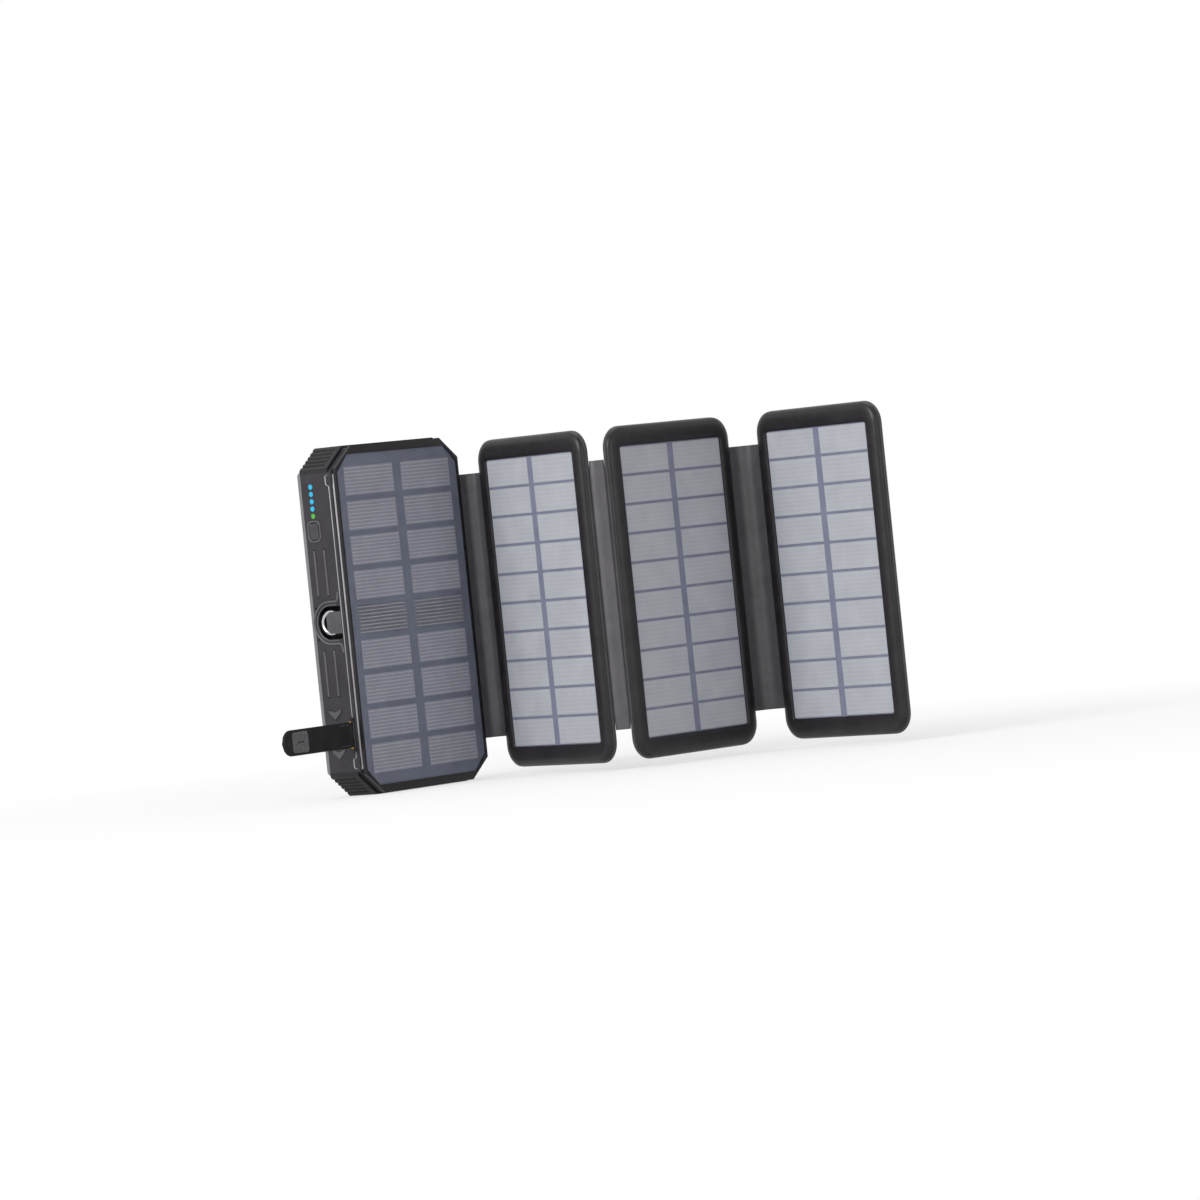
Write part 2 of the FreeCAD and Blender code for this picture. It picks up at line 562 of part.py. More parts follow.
def electronics():
    """Battery cells, main board, side board, switch, coil and ferrite."""
    back = "unit_depth - tub_deep - tub_floor - running_gap"
    for number, label in enumerate(("battery_cell_rear", "battery_cell_front")):
        level = f"{back} - battery_thick * {number + 1} - 0.2 * {number}"
        cell = body(label)
        pad(cell, "XZ", level, "battery_thick",
            [box("- battery_half", "battery_half", "- battery_low", "battery_top")])
        dress(cell, "Fillet", "1.2", lambda edge: abs(
            edge.Length - size("battery_thick")) < 0.01)
    board = body("main_board")
    top = BODY_H + " - casing_wall - 0.3"
    pad(board, "XZ", "board_front", "board_thick",
        [box("- board_half", "board_half", "board_low", top)])
    chips = body("board_chips")
    blocks = [box("-24", "-16", "board_low + 3", "board_low + 11"),
              box("-9", "-3", "board_low + 4", "board_low + 10"),
              box("6", "18", "board_low + 3", "board_low + 12")]
    pad(chips, "XZ", "board_front + board_thick", "2.2", blocks)
    inside = SIDE + " + light_length - light_proud"
    side = body("side_board")
    middle = "unit_depth - light_back"
    pad(side, "YZ", inside, "side_board_thick",
        [box(f"{middle} - side_board_wide / 2", f"{middle} + side_board_wide / 2",
             "side_board_low", "light_top + 3")])
    switch = body("key_switch")
    pad(switch, "YZ", f"{inside} - switch_thick", "switch_thick",
        [box("unit_depth - key_back - switch_side / 2", "unit_depth - key_back + switch_side / 2",
             "key_level - switch_side / 2", "key_level + switch_side / 2")])
    coil = body("charging_coil")
    seat = "unit_depth - cover_wall - coil_thick"
    pad(coil, "XZ", seat, "coil_thick", [], [("0", "coil_level", "coil_radius")])
    pocket(coil, "XZ", seat, "coil_thick", [], [("0", "coil_level", "coil_hole")])
    ferrite = body("ferrite_sheet")
    pad(ferrite, "XZ", f"{seat} - ferrite_thick", "ferrite_thick",
        [box("- ferrite_half", "ferrite_half", "coil_level - ferrite_half",
             "coil_level + ferrite_half")])


def side_controls():
    """Power key and the five charge lights."""
    key = body("power_key")
    pad(key, "YZ", SIDE + " - key_proud", "key_length",
        [box("unit_depth - key_back - key_wide / 2", "unit_depth - key_back + key_wide / 2",
             "key_level - key_tall / 2", "key_level + key_tall / 2")])
    face = -size("unit_width") / 2 - size("key_proud")
    dress(key, "Fillet", "key_proud * 0.6", lambda edge: lies_at(edge, "x", face))
    middle = "unit_depth - light_back"
    blue = [(middle, f"light_top - {number} * light_pitch", "light_radius")
            for number in range(4)]
    pad(body("charge_lights_blue"), "YZ", SIDE + " - light_proud", "light_length", [], blue)
    green = [(middle, "light_top - 4 * light_pitch", "light_radius")]
    pad(body("charge_light_green"), "YZ", SIDE + " - light_proud", "light_length", [], green)


def closing_strap():
    """Two-part strap on a pin that wraps around the folded panels."""
    axis_x = SIDE + " - strap_axis_out"
    low = "- strap_level - strap_wide / 2"
    reach = ("strap_axis_deep + 3 * panel_depth + 2 * face_gap + spine_link"
             " - 2 * ( panel_depth - panel_web_deep ) + strap_thick / 2 + pad_thick + closing_gap")
    root = body("strap_root")
    bar(root, low, "strap_wide", f"{axis_x} - ( {reach} ) + strap_end", axis_x,
        "strap_axis_deep", "strap_thick / 2")
    pad(root, "XY", low, "strap_wide", [], [(axis_x, "strap_axis_deep", "barrel_radius - 0.1")])
    pocket(root, "XY", low, "strap_wide", [], [(axis_x, "strap_axis_deep", "pin_radius + 0.15")])
    pin = body("strap_pin")
    pad(pin, "XY", f"{low} - lug_thick - fit_gap", "strap_wide + 2 * lug_thick + 2 * fit_gap",
        [], [(axis_x, "strap_axis_deep", "pin_radius")])
    tip = body("strap_tip")
    end = f"{axis_x} - strap_length"
    inner = f"{axis_x} - ( {reach} ) - strap_end"
    pad(tip, "XY", low, "strap_wide",
        [box(end, inner, "strap_axis_deep - strap_thick / 2",
             "strap_axis_deep + strap_thick / 2")])
    pad(tip, "XY", low, "strap_wide", [], [(inner, "strap_axis_deep", "strap_thick / 2")])
    far = -size("unit_width") / 2 - size("strap_axis_out") - size("strap_length")
    dress(tip, "Fillet", "strap_wide * 0.45", lambda edge: abs(
        edge.CenterOfMass.x - far) < 0.01 and abs(edge.Length - size("strap_thick")) < 0.01)
    patch = body("strap_pad")
    start = f"{inner} - pad_length"
    pad(patch, "YZ", start, "pad_length",
        [box("strap_axis_deep - strap_thick / 2 - pad_thick", "strap_axis_deep - strap_thick / 2",
             "- strap_level - pad_wide / 2", "- strap_level + pad_wide / 2")])


LEAD_NAMES = ("usb_a", "eight_pin", "usb_c", "micro_usb")
PLUGS = {"usb_a": ("flat_plug_end", "flat_tip_end", "11.0", "2.2"),
         "eight_pin": ("plug_end", "tip_end", "6.7", "1.6"),
         "usb_c": ("plug_end", "tip_end", "8.3", "2.5"),
         "micro_usb": ("plug_end", "tip_end", "6.8", "1.8")}


def charging_leads():
    """Four short leads that fold into the tub, each with its own metal plug."""
    for place, name in zip(LEADS, LEAD_NAMES):
        middle = f"{place} * lead_pitch"
        plug_end, tip_end, wide, thick = PLUGS[name]
        lead = body(name + "_lead")
        top = "unit_depth - lead_sunk"
        pad(lead, "XZ", f"{top} - lead_thick", "lead_thick",
            [box(f"{middle} - lead_wide / 2", f"{middle} + lead_wide / 2",
                 "- lead_axis_low", "- plug_start + 1")])
        pad(lead, "YZ", f"{middle} - lead_wide / 2", "lead_wide", [],
            [(f"{top} - lead_thick / 2", "- lead_axis_low", "lead_thick / 2")])
        pad(lead, "XZ", f"{top} - plug_thick", "plug_thick",
            [box(f"{middle} - plug_wide / 2", f"{middle} + plug_wide / 2",
                 "- plug_start", f"- {plug_end}")])
        corner = size("unit_depth") - size("lead_sunk")
        dress(lead, "Fillet", "0.8", lambda edge: abs(edge.Length - size("plug_thick")) < 0.01
              or (lies_at(edge, "z", -size(plug_end)) and abs(edge.BoundBox.YMax - corner) < 0.01
                  and edge.Length > size("plug_wide") - 1))
        tip = body(name + "_tip")
        level = f"{top} - plug_thick / 2 - {thick} / 2"
        pad(tip, "XZ", level, thick,
            [box(f"{middle} - {wide} / 2", f"{middle} + {wide} / 2",
                 f"- {plug_end}", f"- {tip_end}")])
    roots = body("lead_roots")
    foot = "-1 * unit_height / 2 + root_sunk"
    for place in LEADS:
        middle = f"{place} * lead_pitch"
        left = f"{middle} - lead_wide / 2"
        right = f"{middle} + lead_wide / 2"
        pad(roots, "XZ", "unit_depth - lead_sunk - lead_thick", "lead_thick - 0.6",
            [box(left, right, foot, "- lead_axis_low - lead_thick / 2 - root_gap")])
        pad(roots, "XY", foot, "bumper_proud - groove_floor - root_sunk",
            [box(left, right, "unit_depth - lead_sunk - lead_thick - root_run",
                 "unit_depth - lead_sunk - lead_thick")])


def bottom_end():
    """Grey end piece between the bottom bumpers, grooved where the leads go in."""
    end = body("bottom_end_cap")
    low = "-1 * unit_height / 2"
    pad(end, "XY", low, "bumper_proud",
        [box("- port_half", "port_half", "bezel_depth + front_bevel_run", CASING_BACK)])
    grooves = []
    for place in LEADS:
        middle = f"{place} * lead_pitch"
        grooves.append(box(f"{middle} - slot_wide / 2", f"{middle} + slot_wide / 2",
                           "unit_depth - lead_sunk - lead_thick - root_run - fit_gap",
                           CASING_BACK + " + 1"))
    pocket(end, "XY", low, "bumper_proud - groove_floor", grooves)


# ---------------------------------------------------------------- solar panels
def rounded(owner, radius, depth):
    """Round the four upright corners of a plate."""
    return dress(owner, "Fillet", radius, lambda edge: abs(edge.Length - depth) < 0.01)


def panel(number, place):
    """One solar panel: back shell, front frame, back sheet and cells.

    Its own frame has X along the width, y = 0 on the solar face, Z in the middle.
    """
    whole = box("0", "panel_width", "- panel_height / 2", "panel_height / 2")
    left = "( panel_width - window_width ) / 2"
    right = "( panel_width + window_width ) / 2"
    window = box(left, right, "- window_height / 2", "window_height / 2")
    shell = body(f"panel_{number}_shell")
    pad(shell, "XZ", "frame_depth", "panel_depth - frame_depth", [whole])
    rounded(shell, "panel_corner", size("panel_depth") - size("frame_depth"))
    back = size("panel_depth")
    dress(shell, "Chamfer", "0.6", lambda edge: lies_at(edge, "y", back))
    frame = body(f"panel_{number}_frame")
    pad(frame, "XZ", "0", "frame_depth", [whole])
    rounded(frame, "panel_corner", size("frame_depth"))
    dress(frame, "Fillet", "panel_round", lambda edge: lies_at(edge, "y", 0))
    pocket(frame, "XZ", "0", "frame_depth", [window])
    backing = body(f"panel_{number}_back_sheet")
    pad(backing, "XZ", "sheet_sunk + cell_depth", "frame_depth - sheet_sunk - cell_depth",
        [window])
    cells = doc.addObject("Part::Compound", f"panel_{number}_cells")
    cells.Label = f"panel_{number}_cells"
    links = []
    wide = "( window_width - 2 * cell_margin - panel_column_gap ) / 2"
    tall = "( ( window_height - 2 * cell_margin + panel_cell_gap ) / panel_rows - panel_cell_gap )"
    for column in range(2):
        for row in range(int(size("panel_rows"))):
            cell = doc.addObject("Part::Box", f"Cell_{number}_{column}_{row}")
            cell.setExpression("Length", bound(wide))
            cell.setExpression("Width", bound("cell_depth"))
            cell.setExpression("Height", bound(tall))
            across = f"{left} + cell_margin + {column} * ( {wide} + panel_column_gap )"
            up = f"- window_height / 2 + cell_margin + {row} * ( {tall} + panel_cell_gap )"
            cell.setExpression("Placement.Base.x", bound(across))
            cell.setExpression("Placement.Base.y", bound("sheet_sunk"))
            cell.setExpression("Placement.Base.z", bound(up))
            links.append(cell)
    cells.Links = links
    PARTS.append(cells)
    for made in (shell, frame, backing, cells):
        stand(made, place)


def stand(made, place):
    """Put a folded piece where the chain of joints holds it."""
    made.setExpression("Placement.Base.y", None)
    made.setExpression("Placement.Base.z", None)
    made.Placement = place


def web(label, link, near, far, place):
    """One stiff link of a fold joint between two upright axes, with round ends."""
    made = body(label)
    bar(made, "- web_height / 2", "web_height", near, f"{link} - {far}", "0", "web_thick / 2")
    stand(made, place)


def bar(made, low, tall, left, right, middle, radius):
    """Upright plate along X with round ends, centred on y = middle."""
    pad(made, "XY", low, tall,
        [box(left, right, f"{middle} - {radius}", f"{middle} + {radius}")])
    pad(made, "XY", low, tall, [], [(left, middle, radius)])
    pad(made, "XY", low, tall, [], [(right, middle, radius)])


def fold_shares(link, closed_distance):
    """Angles at which the outer and middle axes of a two-link joint lie flat closed."""
    outer = math.degrees(math.asin(closed_distance / (2 * link)))
    return outer, 180 - 2 * outer


class Chain:
    """Walks from the battery unit along the folded panels in the XY plane."""

    def __init__(self):
        self.spot = Vector(size("unit_width") / 2, size("main_web_deep"), 0)
        self.turn = 0.0

    def forward(self, length):
        """Move along the present direction."""
        angle = math.radians(self.turn)
        self.spot = self.spot + Vector(math.cos(angle), math.sin(angle), 0) * length

    def place(self, deep=0.0):
        """Placement of a piece whose own frame starts here, `deep` behind its face."""
        angle = math.radians(self.turn)
        behind = Vector(-math.sin(angle), math.cos(angle), 0) * deep
        shift = Vector(0, -size("unit_depth") / 2, size("unit_height") / 2)
        return Placement(self.spot - behind + shift, Rotation(Vector(0, 0, 1), self.turn))

    def report(self, name):
        """Print one axis for the record."""
        place = self.place().Base
        print(f"axis {name} {place.x:.4f} {place.y:.4f} {place.z:.4f} turn {self.turn:.4f}")


def fold_out_panels():
    """The three panels and the joints between them, at their standing angles."""
    chain = Chain()
    gap = size("face_gap")
    deep = size("panel_web_deep")
    first = fold_shares(size("first_link"), size("main_web_deep") + gap + deep)
    third = fold_shares(size("third_link"), 2 * deep + gap)
    chain.forward(size("axis_out"))
    double_joint(chain, "first", "first_link", first, size("first_fold") / 180)
    add_panel(chain, 2)
    chain.report("second_a")
    chain.turn += size("second_fold") / 2
    web("second_hinge_spine", "spine_link", "web_outer_end", "web_outer_end", chain.place())
    chain.forward(size("spine_link"))
    chain.report("second_b")
    chain.turn += size("second_fold") / 2
    add_panel(chain, 3)
    double_joint(chain, "third", "third_link", third, size("third_fold") / 180)
    add_panel(chain, 4)


def double_joint(chain, name, link, shares, part):
    """Two links on three axes: the inner fold of two solar faces."""
    outer, middle = shares
    print(f"shares {name} {outer:.4f} {middle:.4f} part {part:.6f}")
    ends = ("web_outer_end", "web_end")
    for label, share in (("inner", outer), ("outer", middle)):
        chain.report(f"{name}_{label}")
        chain.turn -= share * part
        web(f"{name}_hinge_{label}_web", link, *ends, chain.place())
        ends = ends[::-1]
        chain.forward(size(link))
    chain.report(f"{name}_panel")
    chain.turn -= outer * part


def add_panel(chain, number):
    """Add a panel at the present place of the chain and walk over it."""
    chain.forward(size("axis_out"))
    panel(number, chain.place(size("panel_web_deep")))
    chain.forward(size("panel_width") + size("axis_out"))


side_casing()
lanyard_bay()
bumpers("top_bumpers", "1")
bumpers("bottom_bumpers", "-1")
front_bezel()
solar_stack()
rear_cover()
rear_grips()
cable_tub()
lamp()
port_cover()
sockets()
electronics()
side_controls()
closing_strap()
charging_leads()
bottom_end()
fold_out_panels()
doc.recompute()

for item in doc.Objects:
    if "Invalid" in item.State or "Error" in item.State:
        raise RuntimeError(f"{item.Label}: {item.State}")
for item in PARTS:
    if item.Shape.isNull() or not item.Shape.isValid():
        raise RuntimeError(f"{item.Label}: the shape is not valid")

os.makedirs("parts", exist_ok=True)
for item in PARTS:
    item.Shape.exportStep(f"parts/{item.Label}.step")
print(len(PARTS), "parts")
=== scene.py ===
import json
import logging
import math
from dataclasses import dataclass
from enum import Enum
from typing import Sequence

import bmesh
import bpy
from mathutils import Matrix, Vector


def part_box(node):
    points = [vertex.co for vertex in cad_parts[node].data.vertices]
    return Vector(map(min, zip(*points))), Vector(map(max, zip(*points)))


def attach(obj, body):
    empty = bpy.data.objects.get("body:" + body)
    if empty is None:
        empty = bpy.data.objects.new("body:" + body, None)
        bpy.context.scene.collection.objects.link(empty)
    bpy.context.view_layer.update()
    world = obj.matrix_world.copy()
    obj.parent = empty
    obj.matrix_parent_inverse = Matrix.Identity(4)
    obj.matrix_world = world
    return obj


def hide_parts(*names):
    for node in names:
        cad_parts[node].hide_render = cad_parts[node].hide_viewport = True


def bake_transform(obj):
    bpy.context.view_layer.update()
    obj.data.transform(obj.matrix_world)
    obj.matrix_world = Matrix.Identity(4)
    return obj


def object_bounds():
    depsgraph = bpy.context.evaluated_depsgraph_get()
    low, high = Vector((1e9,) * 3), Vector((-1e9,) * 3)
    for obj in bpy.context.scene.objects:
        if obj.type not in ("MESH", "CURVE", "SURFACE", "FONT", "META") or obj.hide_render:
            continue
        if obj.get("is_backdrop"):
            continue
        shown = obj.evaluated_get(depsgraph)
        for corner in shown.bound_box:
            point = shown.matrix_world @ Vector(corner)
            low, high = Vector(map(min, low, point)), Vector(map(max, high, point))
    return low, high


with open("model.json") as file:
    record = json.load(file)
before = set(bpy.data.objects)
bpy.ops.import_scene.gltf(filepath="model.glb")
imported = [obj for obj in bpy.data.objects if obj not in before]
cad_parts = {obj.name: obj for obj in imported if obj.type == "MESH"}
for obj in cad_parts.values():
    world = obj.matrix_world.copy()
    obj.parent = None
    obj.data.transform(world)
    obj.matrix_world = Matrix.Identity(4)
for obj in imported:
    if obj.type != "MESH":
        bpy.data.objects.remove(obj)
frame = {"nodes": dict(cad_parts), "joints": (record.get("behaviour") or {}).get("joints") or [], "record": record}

MM = 0.001
WHITE = (1, 1, 1, 1)
LOG = logging.getLogger("folding_charger")
AXES: dict[str, Vector] = {
    joint["name"]: Vector(joint["pos_m"]) for joint in frame["joints"] if "pos_m" in joint}


class Grain(Enum):
    """Small relief that a finish carries."""

    FINE = "fine moulded grain"
    PEBBLE = "pebbled rubber"
    WEAVE = "woven mesh"
    BRUSHED = "brushed lines"
    LEATHERY = "creased coating"


def shade(code: str) -> tuple[float, float, float, float]:
    """Turn a display colour into a linear one.

    Args:
        code: six hexadecimal digits.

    Returns:
        Linear red, green, blue and a full alpha.
    """
    parts = [int(code[place:place + 2], 16) / 255 for place in (0, 2, 4)]
    linear = [part / 12.92 if part <= 0.04045 else ((part + 0.055) / 1.055) ** 2.4
              for part in parts]
    return (linear[0], linear[1], linear[2], 1.0)


class Graph:
    """Adds and links the nodes of one node tree."""

    def __init__(self, tree: bpy.types.NodeTree) -> None:
        """Keep the tree."""
        self.tree = tree

    def add(self, kind: str, **values: object) -> bpy.types.Node:
        """Add a node and set its inputs.

        Args:
            kind: the node's type.
            values: the inputs by name, with _ for a space.

        Returns:
            The new node.
        """
        node = self.tree.nodes.new(kind)
        for name, value in values.items():
            node.inputs[name.replace("_", " ")].default_value = value
        return node

    def link(self, start: bpy.types.NodeSocket, end: bpy.types.NodeSocket) -> None:
        """Link two sockets."""
        self.tree.links.new(start, end)

    def mapped(self, kind: str, place: bpy.types.NodeSocket, **values: object
               ) -> bpy.types.Node:
        """Add a node that reads coordinates.

        Args:
            kind: the node's type.
            place: the coordinates.
            values: the other inputs, with _ for a space.

        Returns:
            The new node.
        """
        node = self.add(kind, **values)
        self.link(place, node.inputs["Vector"])
        return node

    def math(self, kind: str, first: bpy.types.NodeSocket | float,
             second: bpy.types.NodeSocket | float) -> bpy.types.NodeSocket:
        """Work out one sum of two values.

        Args:
            kind: the operation's name.
            first: a socket or a number.
            second: a socket or a number.

        Returns:
            The result's socket.
        """
        node = self.add("ShaderNodeMath")
        node.operation = kind
        for place, value in enumerate((first, second)):
            if isinstance(value, (int, float)):
                node.inputs[place].default_value = value
            else:
                self.link(value, node.inputs[place])
        return node.outputs[0]


@dataclass(frozen=True)
class NoiseGrain:
    """A grain made of one noise, which may be drawn out upwards."""

    upright: float
    scale: float
    detail: float
    rough: float = 0.5


NOISE_GRAINS = {Grain.FINE: NoiseGrain(1.0, 1.0, 3), Grain.BRUSHED: NoiseGrain(0.04, 1.0, 4),
                Grain.LEATHERY: NoiseGrain(0.35, 0.25, 7, 0.7)}
THREAD_SCALE = 0.314
THREAD_WANDER = 0.4
PATCH_STOPS = (0.32, 0.68)
LEAST_ROUGHNESS = 0.03


@dataclass(frozen=True)
class Finish:
    """One surface finish, from which a node material is built."""

    colour: str
    patch: str
    roughness: float
    grain: Grain = Grain.FINE
    grain_size: float = 0.6 * MM
    grain_rise: float = 0.03 * MM
    patch_size: float = 9 * MM
    rough_spread: float = 0.12
    metallic: float = 0.0
    specular: float = 0.5
    sheen: float = 0.0
    alpha: float = 1.0
    glow: float = 0.0

    def build(self, name: str) -> bpy.types.Material:
        """Build the node material of this finish.

        Args:
            name: the slot the material stands for.

        Returns:
            The new material.
        """
        material = bpy.data.materials.new("finish_" + name)
        material.use_nodes = True
        graph = Graph(material.node_tree)
        shader = material.node_tree.nodes["Principled BSDF"]
        place = graph.add("ShaderNodeTexCoord").outputs["Object"]
        self._paint(graph, shader, place)
        bump = graph.add("ShaderNodeBump", Strength=1.0, Distance=self.grain_rise)
        graph.link(self._height(graph, place), bump.inputs["Height"])
        graph.link(bump.outputs["Normal"], shader.inputs["Normal"])
        shader.inputs["Metallic"].default_value = self.metallic
        shader.inputs["Specular IOR Level"].default_value = self.specular
        shader.inputs["Sheen Weight"].default_value = self.sheen
        shader.inputs["Alpha"].default_value = self.alpha
        if self.glow:
            shader.inputs["Emission Color"].default_value = shade(self.colour)
            shader.inputs["Emission Strength"].default_value = self.glow
        return material

    def _paint(self, graph: Graph, shader: bpy.types.Node, place: bpy.types.NodeSocket
               ) -> None:
        """Give the shader its uneven colour and roughness.

        Args:
            graph: the material's nodes.
            shader: the surface shader.
            place: object coordinates.
        """
        cloud = graph.mapped("ShaderNodeTexNoise", place, Scale=1 / self.patch_size,
                             Detail=5, Roughness=0.62)
        ramp = graph.add("ShaderNodeValToRGB")
        for stop, position, colour in zip(ramp.color_ramp.elements, PATCH_STOPS,
                                          (self.colour, self.patch)):
            stop.position = position
            stop.color = shade(colour)
        graph.link(cloud.outputs["Fac"], ramp.inputs["Fac"])
        graph.link(ramp.outputs["Color"], shader.inputs["Base Color"])
        scuff = graph.mapped("ShaderNodeTexNoise", place, Scale=3 / self.patch_size, Detail=6)
        half = self.rough_spread / 2
        spread = graph.add("ShaderNodeMapRange", From_Min=0.3, From_Max=0.7,
                           To_Min=max(LEAST_ROUGHNESS, self.roughness - half),
                           To_Max=min(1.0, self.roughness + half))
        graph.link(scuff.outputs["Fac"], spread.inputs["Value"])
        graph.link(spread.outputs["Result"], shader.inputs["Roughness"])

    def _height(self, graph: Graph, place: bpy.types.NodeSocket) -> bpy.types.NodeSocket:
        """Build the height of this finish's grain.

        Args:
            graph: the material's nodes.
            place: object coordinates.

        Returns:
            The height's socket.
        """
        if self.grain is Grain.PEBBLE:
            return graph.mapped("ShaderNodeTexVoronoi", place,
                                Scale=1 / self.grain_size).outputs["Distance"]
        if self.grain is Grain.WEAVE:
            threads = []
            for direction, phase in (("X", 0.0), ("Z", math.pi / 2)):
                wave = graph.mapped("ShaderNodeTexWave", place, Phase_Offset=phase,
                                    Scale=THREAD_SCALE / self.grain_size,
                                    Distortion=THREAD_WANDER)
                wave.bands_direction = direction
                threads.append(wave.outputs["Fac"])
            return graph.math("MULTIPLY", *threads)
        form = NOISE_GRAINS[self.grain]
        drawn = graph.mapped("ShaderNodeMapping", place, Scale=(1, 1, form.upright))
        return graph.mapped("ShaderNodeTexNoise", drawn.outputs["Vector"],
                            Scale=form.scale / self.grain_size, Detail=form.detail,
                            Roughness=form.rough).outputs["Fac"]


FINISHES: dict[str, Finish] = {
    "casing_rubber": Finish("2b292c", "353336", 0.55, Grain.FINE, 0.35 * MM, 0.02 * MM,
                            specular=0.22),
    "black_bezel": Finish("151316", "1d1b1e", 0.32, grain_rise=0.006 * MM, specular=0.3),
    "bumper_rubber": Finish("1f1d20", "292729", 0.55, Grain.PEBBLE, 0.5 * MM, 0.015 * MM,
                            specular=0.2),
    "shell_grey": Finish("67666a", "727175", 0.45, Grain.FINE, 0.3 * MM, 0.02 * MM),
    "tub_black": Finish("1f1e20", "29282a", 0.6, Grain.FINE, 0.3 * MM, 0.02 * MM),
    "grip_mesh": Finish("2a292b", "39383b", 0.6, Grain.WEAVE, 1.1 * MM, 0.3 * MM),
    "grip_dot": Finish("4f4d50", "5e5c5f", 0.5, Grain.FINE, 0.2 * MM, 0.02 * MM),
    "lamp_white": Finish("f2f2f5", "e9eaef", 0.35, grain_rise=0.01 * MM, glow=0.12),
    "solar_glass": Finish("5c6070", "666a7a", 0.2, grain_rise=0.003 * MM, alpha=0.1),
    "main_sheet": Finish("6e7382", "787d8c", 0.4, grain_rise=0.01 * MM),
    "main_cell": Finish("92929d", "9b9ba6", 0.42, Grain.BRUSHED, 0.25 * MM, 0.01 * MM),
    "panel_sheet": Finish("6d7083", "787b8e", 0.35, grain_rise=0.008 * MM),
    "panel_cell": Finish("9fa1a8", "aaacb2", 0.36, Grain.BRUSHED, 0.3 * MM, 0.008 * MM,
                         patch_size=14 * MM),
    "panel_frame": Finish("191719", "242224", 0.36, Grain.FINE, 0.5 * MM, 0.012 * MM,
                          specular=0.3),
    "panel_back": Finish("353337", "403e42", 0.6, Grain.PEBBLE, 0.8 * MM, 0.05 * MM),
    "web_fabric": Finish("424043", "4e4c4f", 0.38, Grain.LEATHERY, 0.7 * MM, 0.09 * MM,
                         sheen=0.15),
    "strap_black": Finish("171517", "201e20", 0.55, Grain.LEATHERY, 0.5 * MM, 0.05 * MM,
                          specular=0.15),
    "strap_pad": Finish("3d3c3e", "504f51", 0.8, Grain.PEBBLE, 0.7 * MM, 0.25 * MM,
                        patch_size=2 * MM, sheen=0.3),
    "brass_pin": Finish("b08a45", "c49c52", 0.3, Grain.BRUSHED, 0.2 * MM, 0.005 * MM,
                        metallic=1.0),
    "lead_grey": Finish("5d5c60", "68676b", 0.5, Grain.FINE, 0.3 * MM, 0.015 * MM),
    "plug_metal": Finish("c9cacc", "d8d9db", 0.25, Grain.BRUSHED, 0.2 * MM, 0.004 * MM,
                         metallic=1.0),
    "socket_metal": Finish("a8a9ac", "b8b9bb", 0.35, Grain.BRUSHED, 0.2 * MM, 0.004 * MM,
                           metallic=1.0),
    "battery_foil": Finish("a9abb0", "bcbec3", 0.4, Grain.PEBBLE, 2 * MM, 0.05 * MM,
                           metallic=0.8),
    "board_green": Finish("1f5a35", "2a6a41", 0.45, Grain.FINE, 0.4 * MM, 0.02 * MM),
    "chip_black": Finish("1c1c1e", "28282a", 0.5),
    "coil_copper": Finish("b06a3a", "c07c48", 0.4, Grain.BRUSHED, 0.3 * MM, 0.02 * MM,
                          metallic=0.9),
    "ferrite_grey": Finish("3a3a3c", "464648", 0.7),
    "light_blue": Finish("1791b8", "2aa2c6", 0.25, grain_rise=0.004 * MM, glow=0.25),
    "light_green": Finish("3d8c2c", "4c9a3c", 0.25, grain_rise=0.004 * MM, glow=0.2),
    "key_black": Finish("2b292c", "353336", 0.45, Grain.FINE, 0.3 * MM, 0.015 * MM),
    "tongue_metal": Finish("4a4a4d", "5a5a5e", 0.4, Grain.BRUSHED, 0.25 * MM, 0.01 * MM,
                           metallic=0.6),
    "ring_steel": Finish("b9babd", "cfd0d3", 0.22, Grain.BRUSHED, 0.2 * MM, 0.004 * MM,
                         metallic=1.0),
    "contact_gold": Finish("c9a24a", "d8b35c", 0.28, metallic=1.0, grain_rise=0.003 * MM),
    "print_line": Finish("b4b4bf", "c2c2cc", 0.4, grain_rise=0.002 * MM),
    "print_faint": Finish("b0b2b8", "b9bbc0", 0.4, grain_rise=0.002 * MM),
    # Light grey of the front facet: a painted highlight on the chamfer.
    "facet_highlight_grey": Finish("89878a", "979598", 0.38, Grain.FINE, 0.3 * MM, 0.015 * MM),
    # Grey lighter than the casing: a painted highlight along the raised side relief.
    "relief_highlight_grey": Finish("474548", "535154", 0.45, Grain.FINE, 0.3 * MM, 0.015 * MM,
                          specular=0.35),
    "thread_grey": Finish("515054", "626166", 0.7, Grain.FINE, 0.1 * MM, 0.01 * MM),
}


class Workshop:
    """Keeps the materials and joins each made piece to the frame."""

    def __init__(self) -> None:
        """Build every material once."""
        self.materials = {name: finish.build(name) for name, finish in FINISHES.items()}

    def dress_nodes(self) -> None:
        """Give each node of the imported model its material."""
        for part in frame["record"]["subparts"]:
            node = frame["nodes"][part["node"]]
            for place in node.material_slots:
                place.material = self.materials[part["material_slot"]]
            LOG.info("dressed %s as %s", part["node"], part["material_slot"])

    def piece(self, name: str, mesh: bpy.types.Mesh, finish: str,
              angle: float = 35.0) -> bpy.types.Object:
        """Put a mesh in the scene with its finish.

        Args:
            name: the piece's name.
            mesh: its mesh, in place.
            finish: the name of its finish.
            angle: edges sharper than this many degrees stay sharp.

        Returns:
            The new object.
        """
        piece = bpy.data.objects.new(name, mesh)
        bpy.context.scene.collection.objects.link(piece)
        mesh.materials.clear()
        mesh.materials.append(self.materials[finish])
        mesh.shade_smooth()
        mesh.set_sharp_from_angle(angle=math.radians(angle))
        LOG.info("made %s with %d faces", name, len(mesh.polygons))
        return piece

    def fasten(self, piece: bpy.types.Object, body: str) -> None:
        """Make a piece ride on the named body."""
        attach(piece, body)


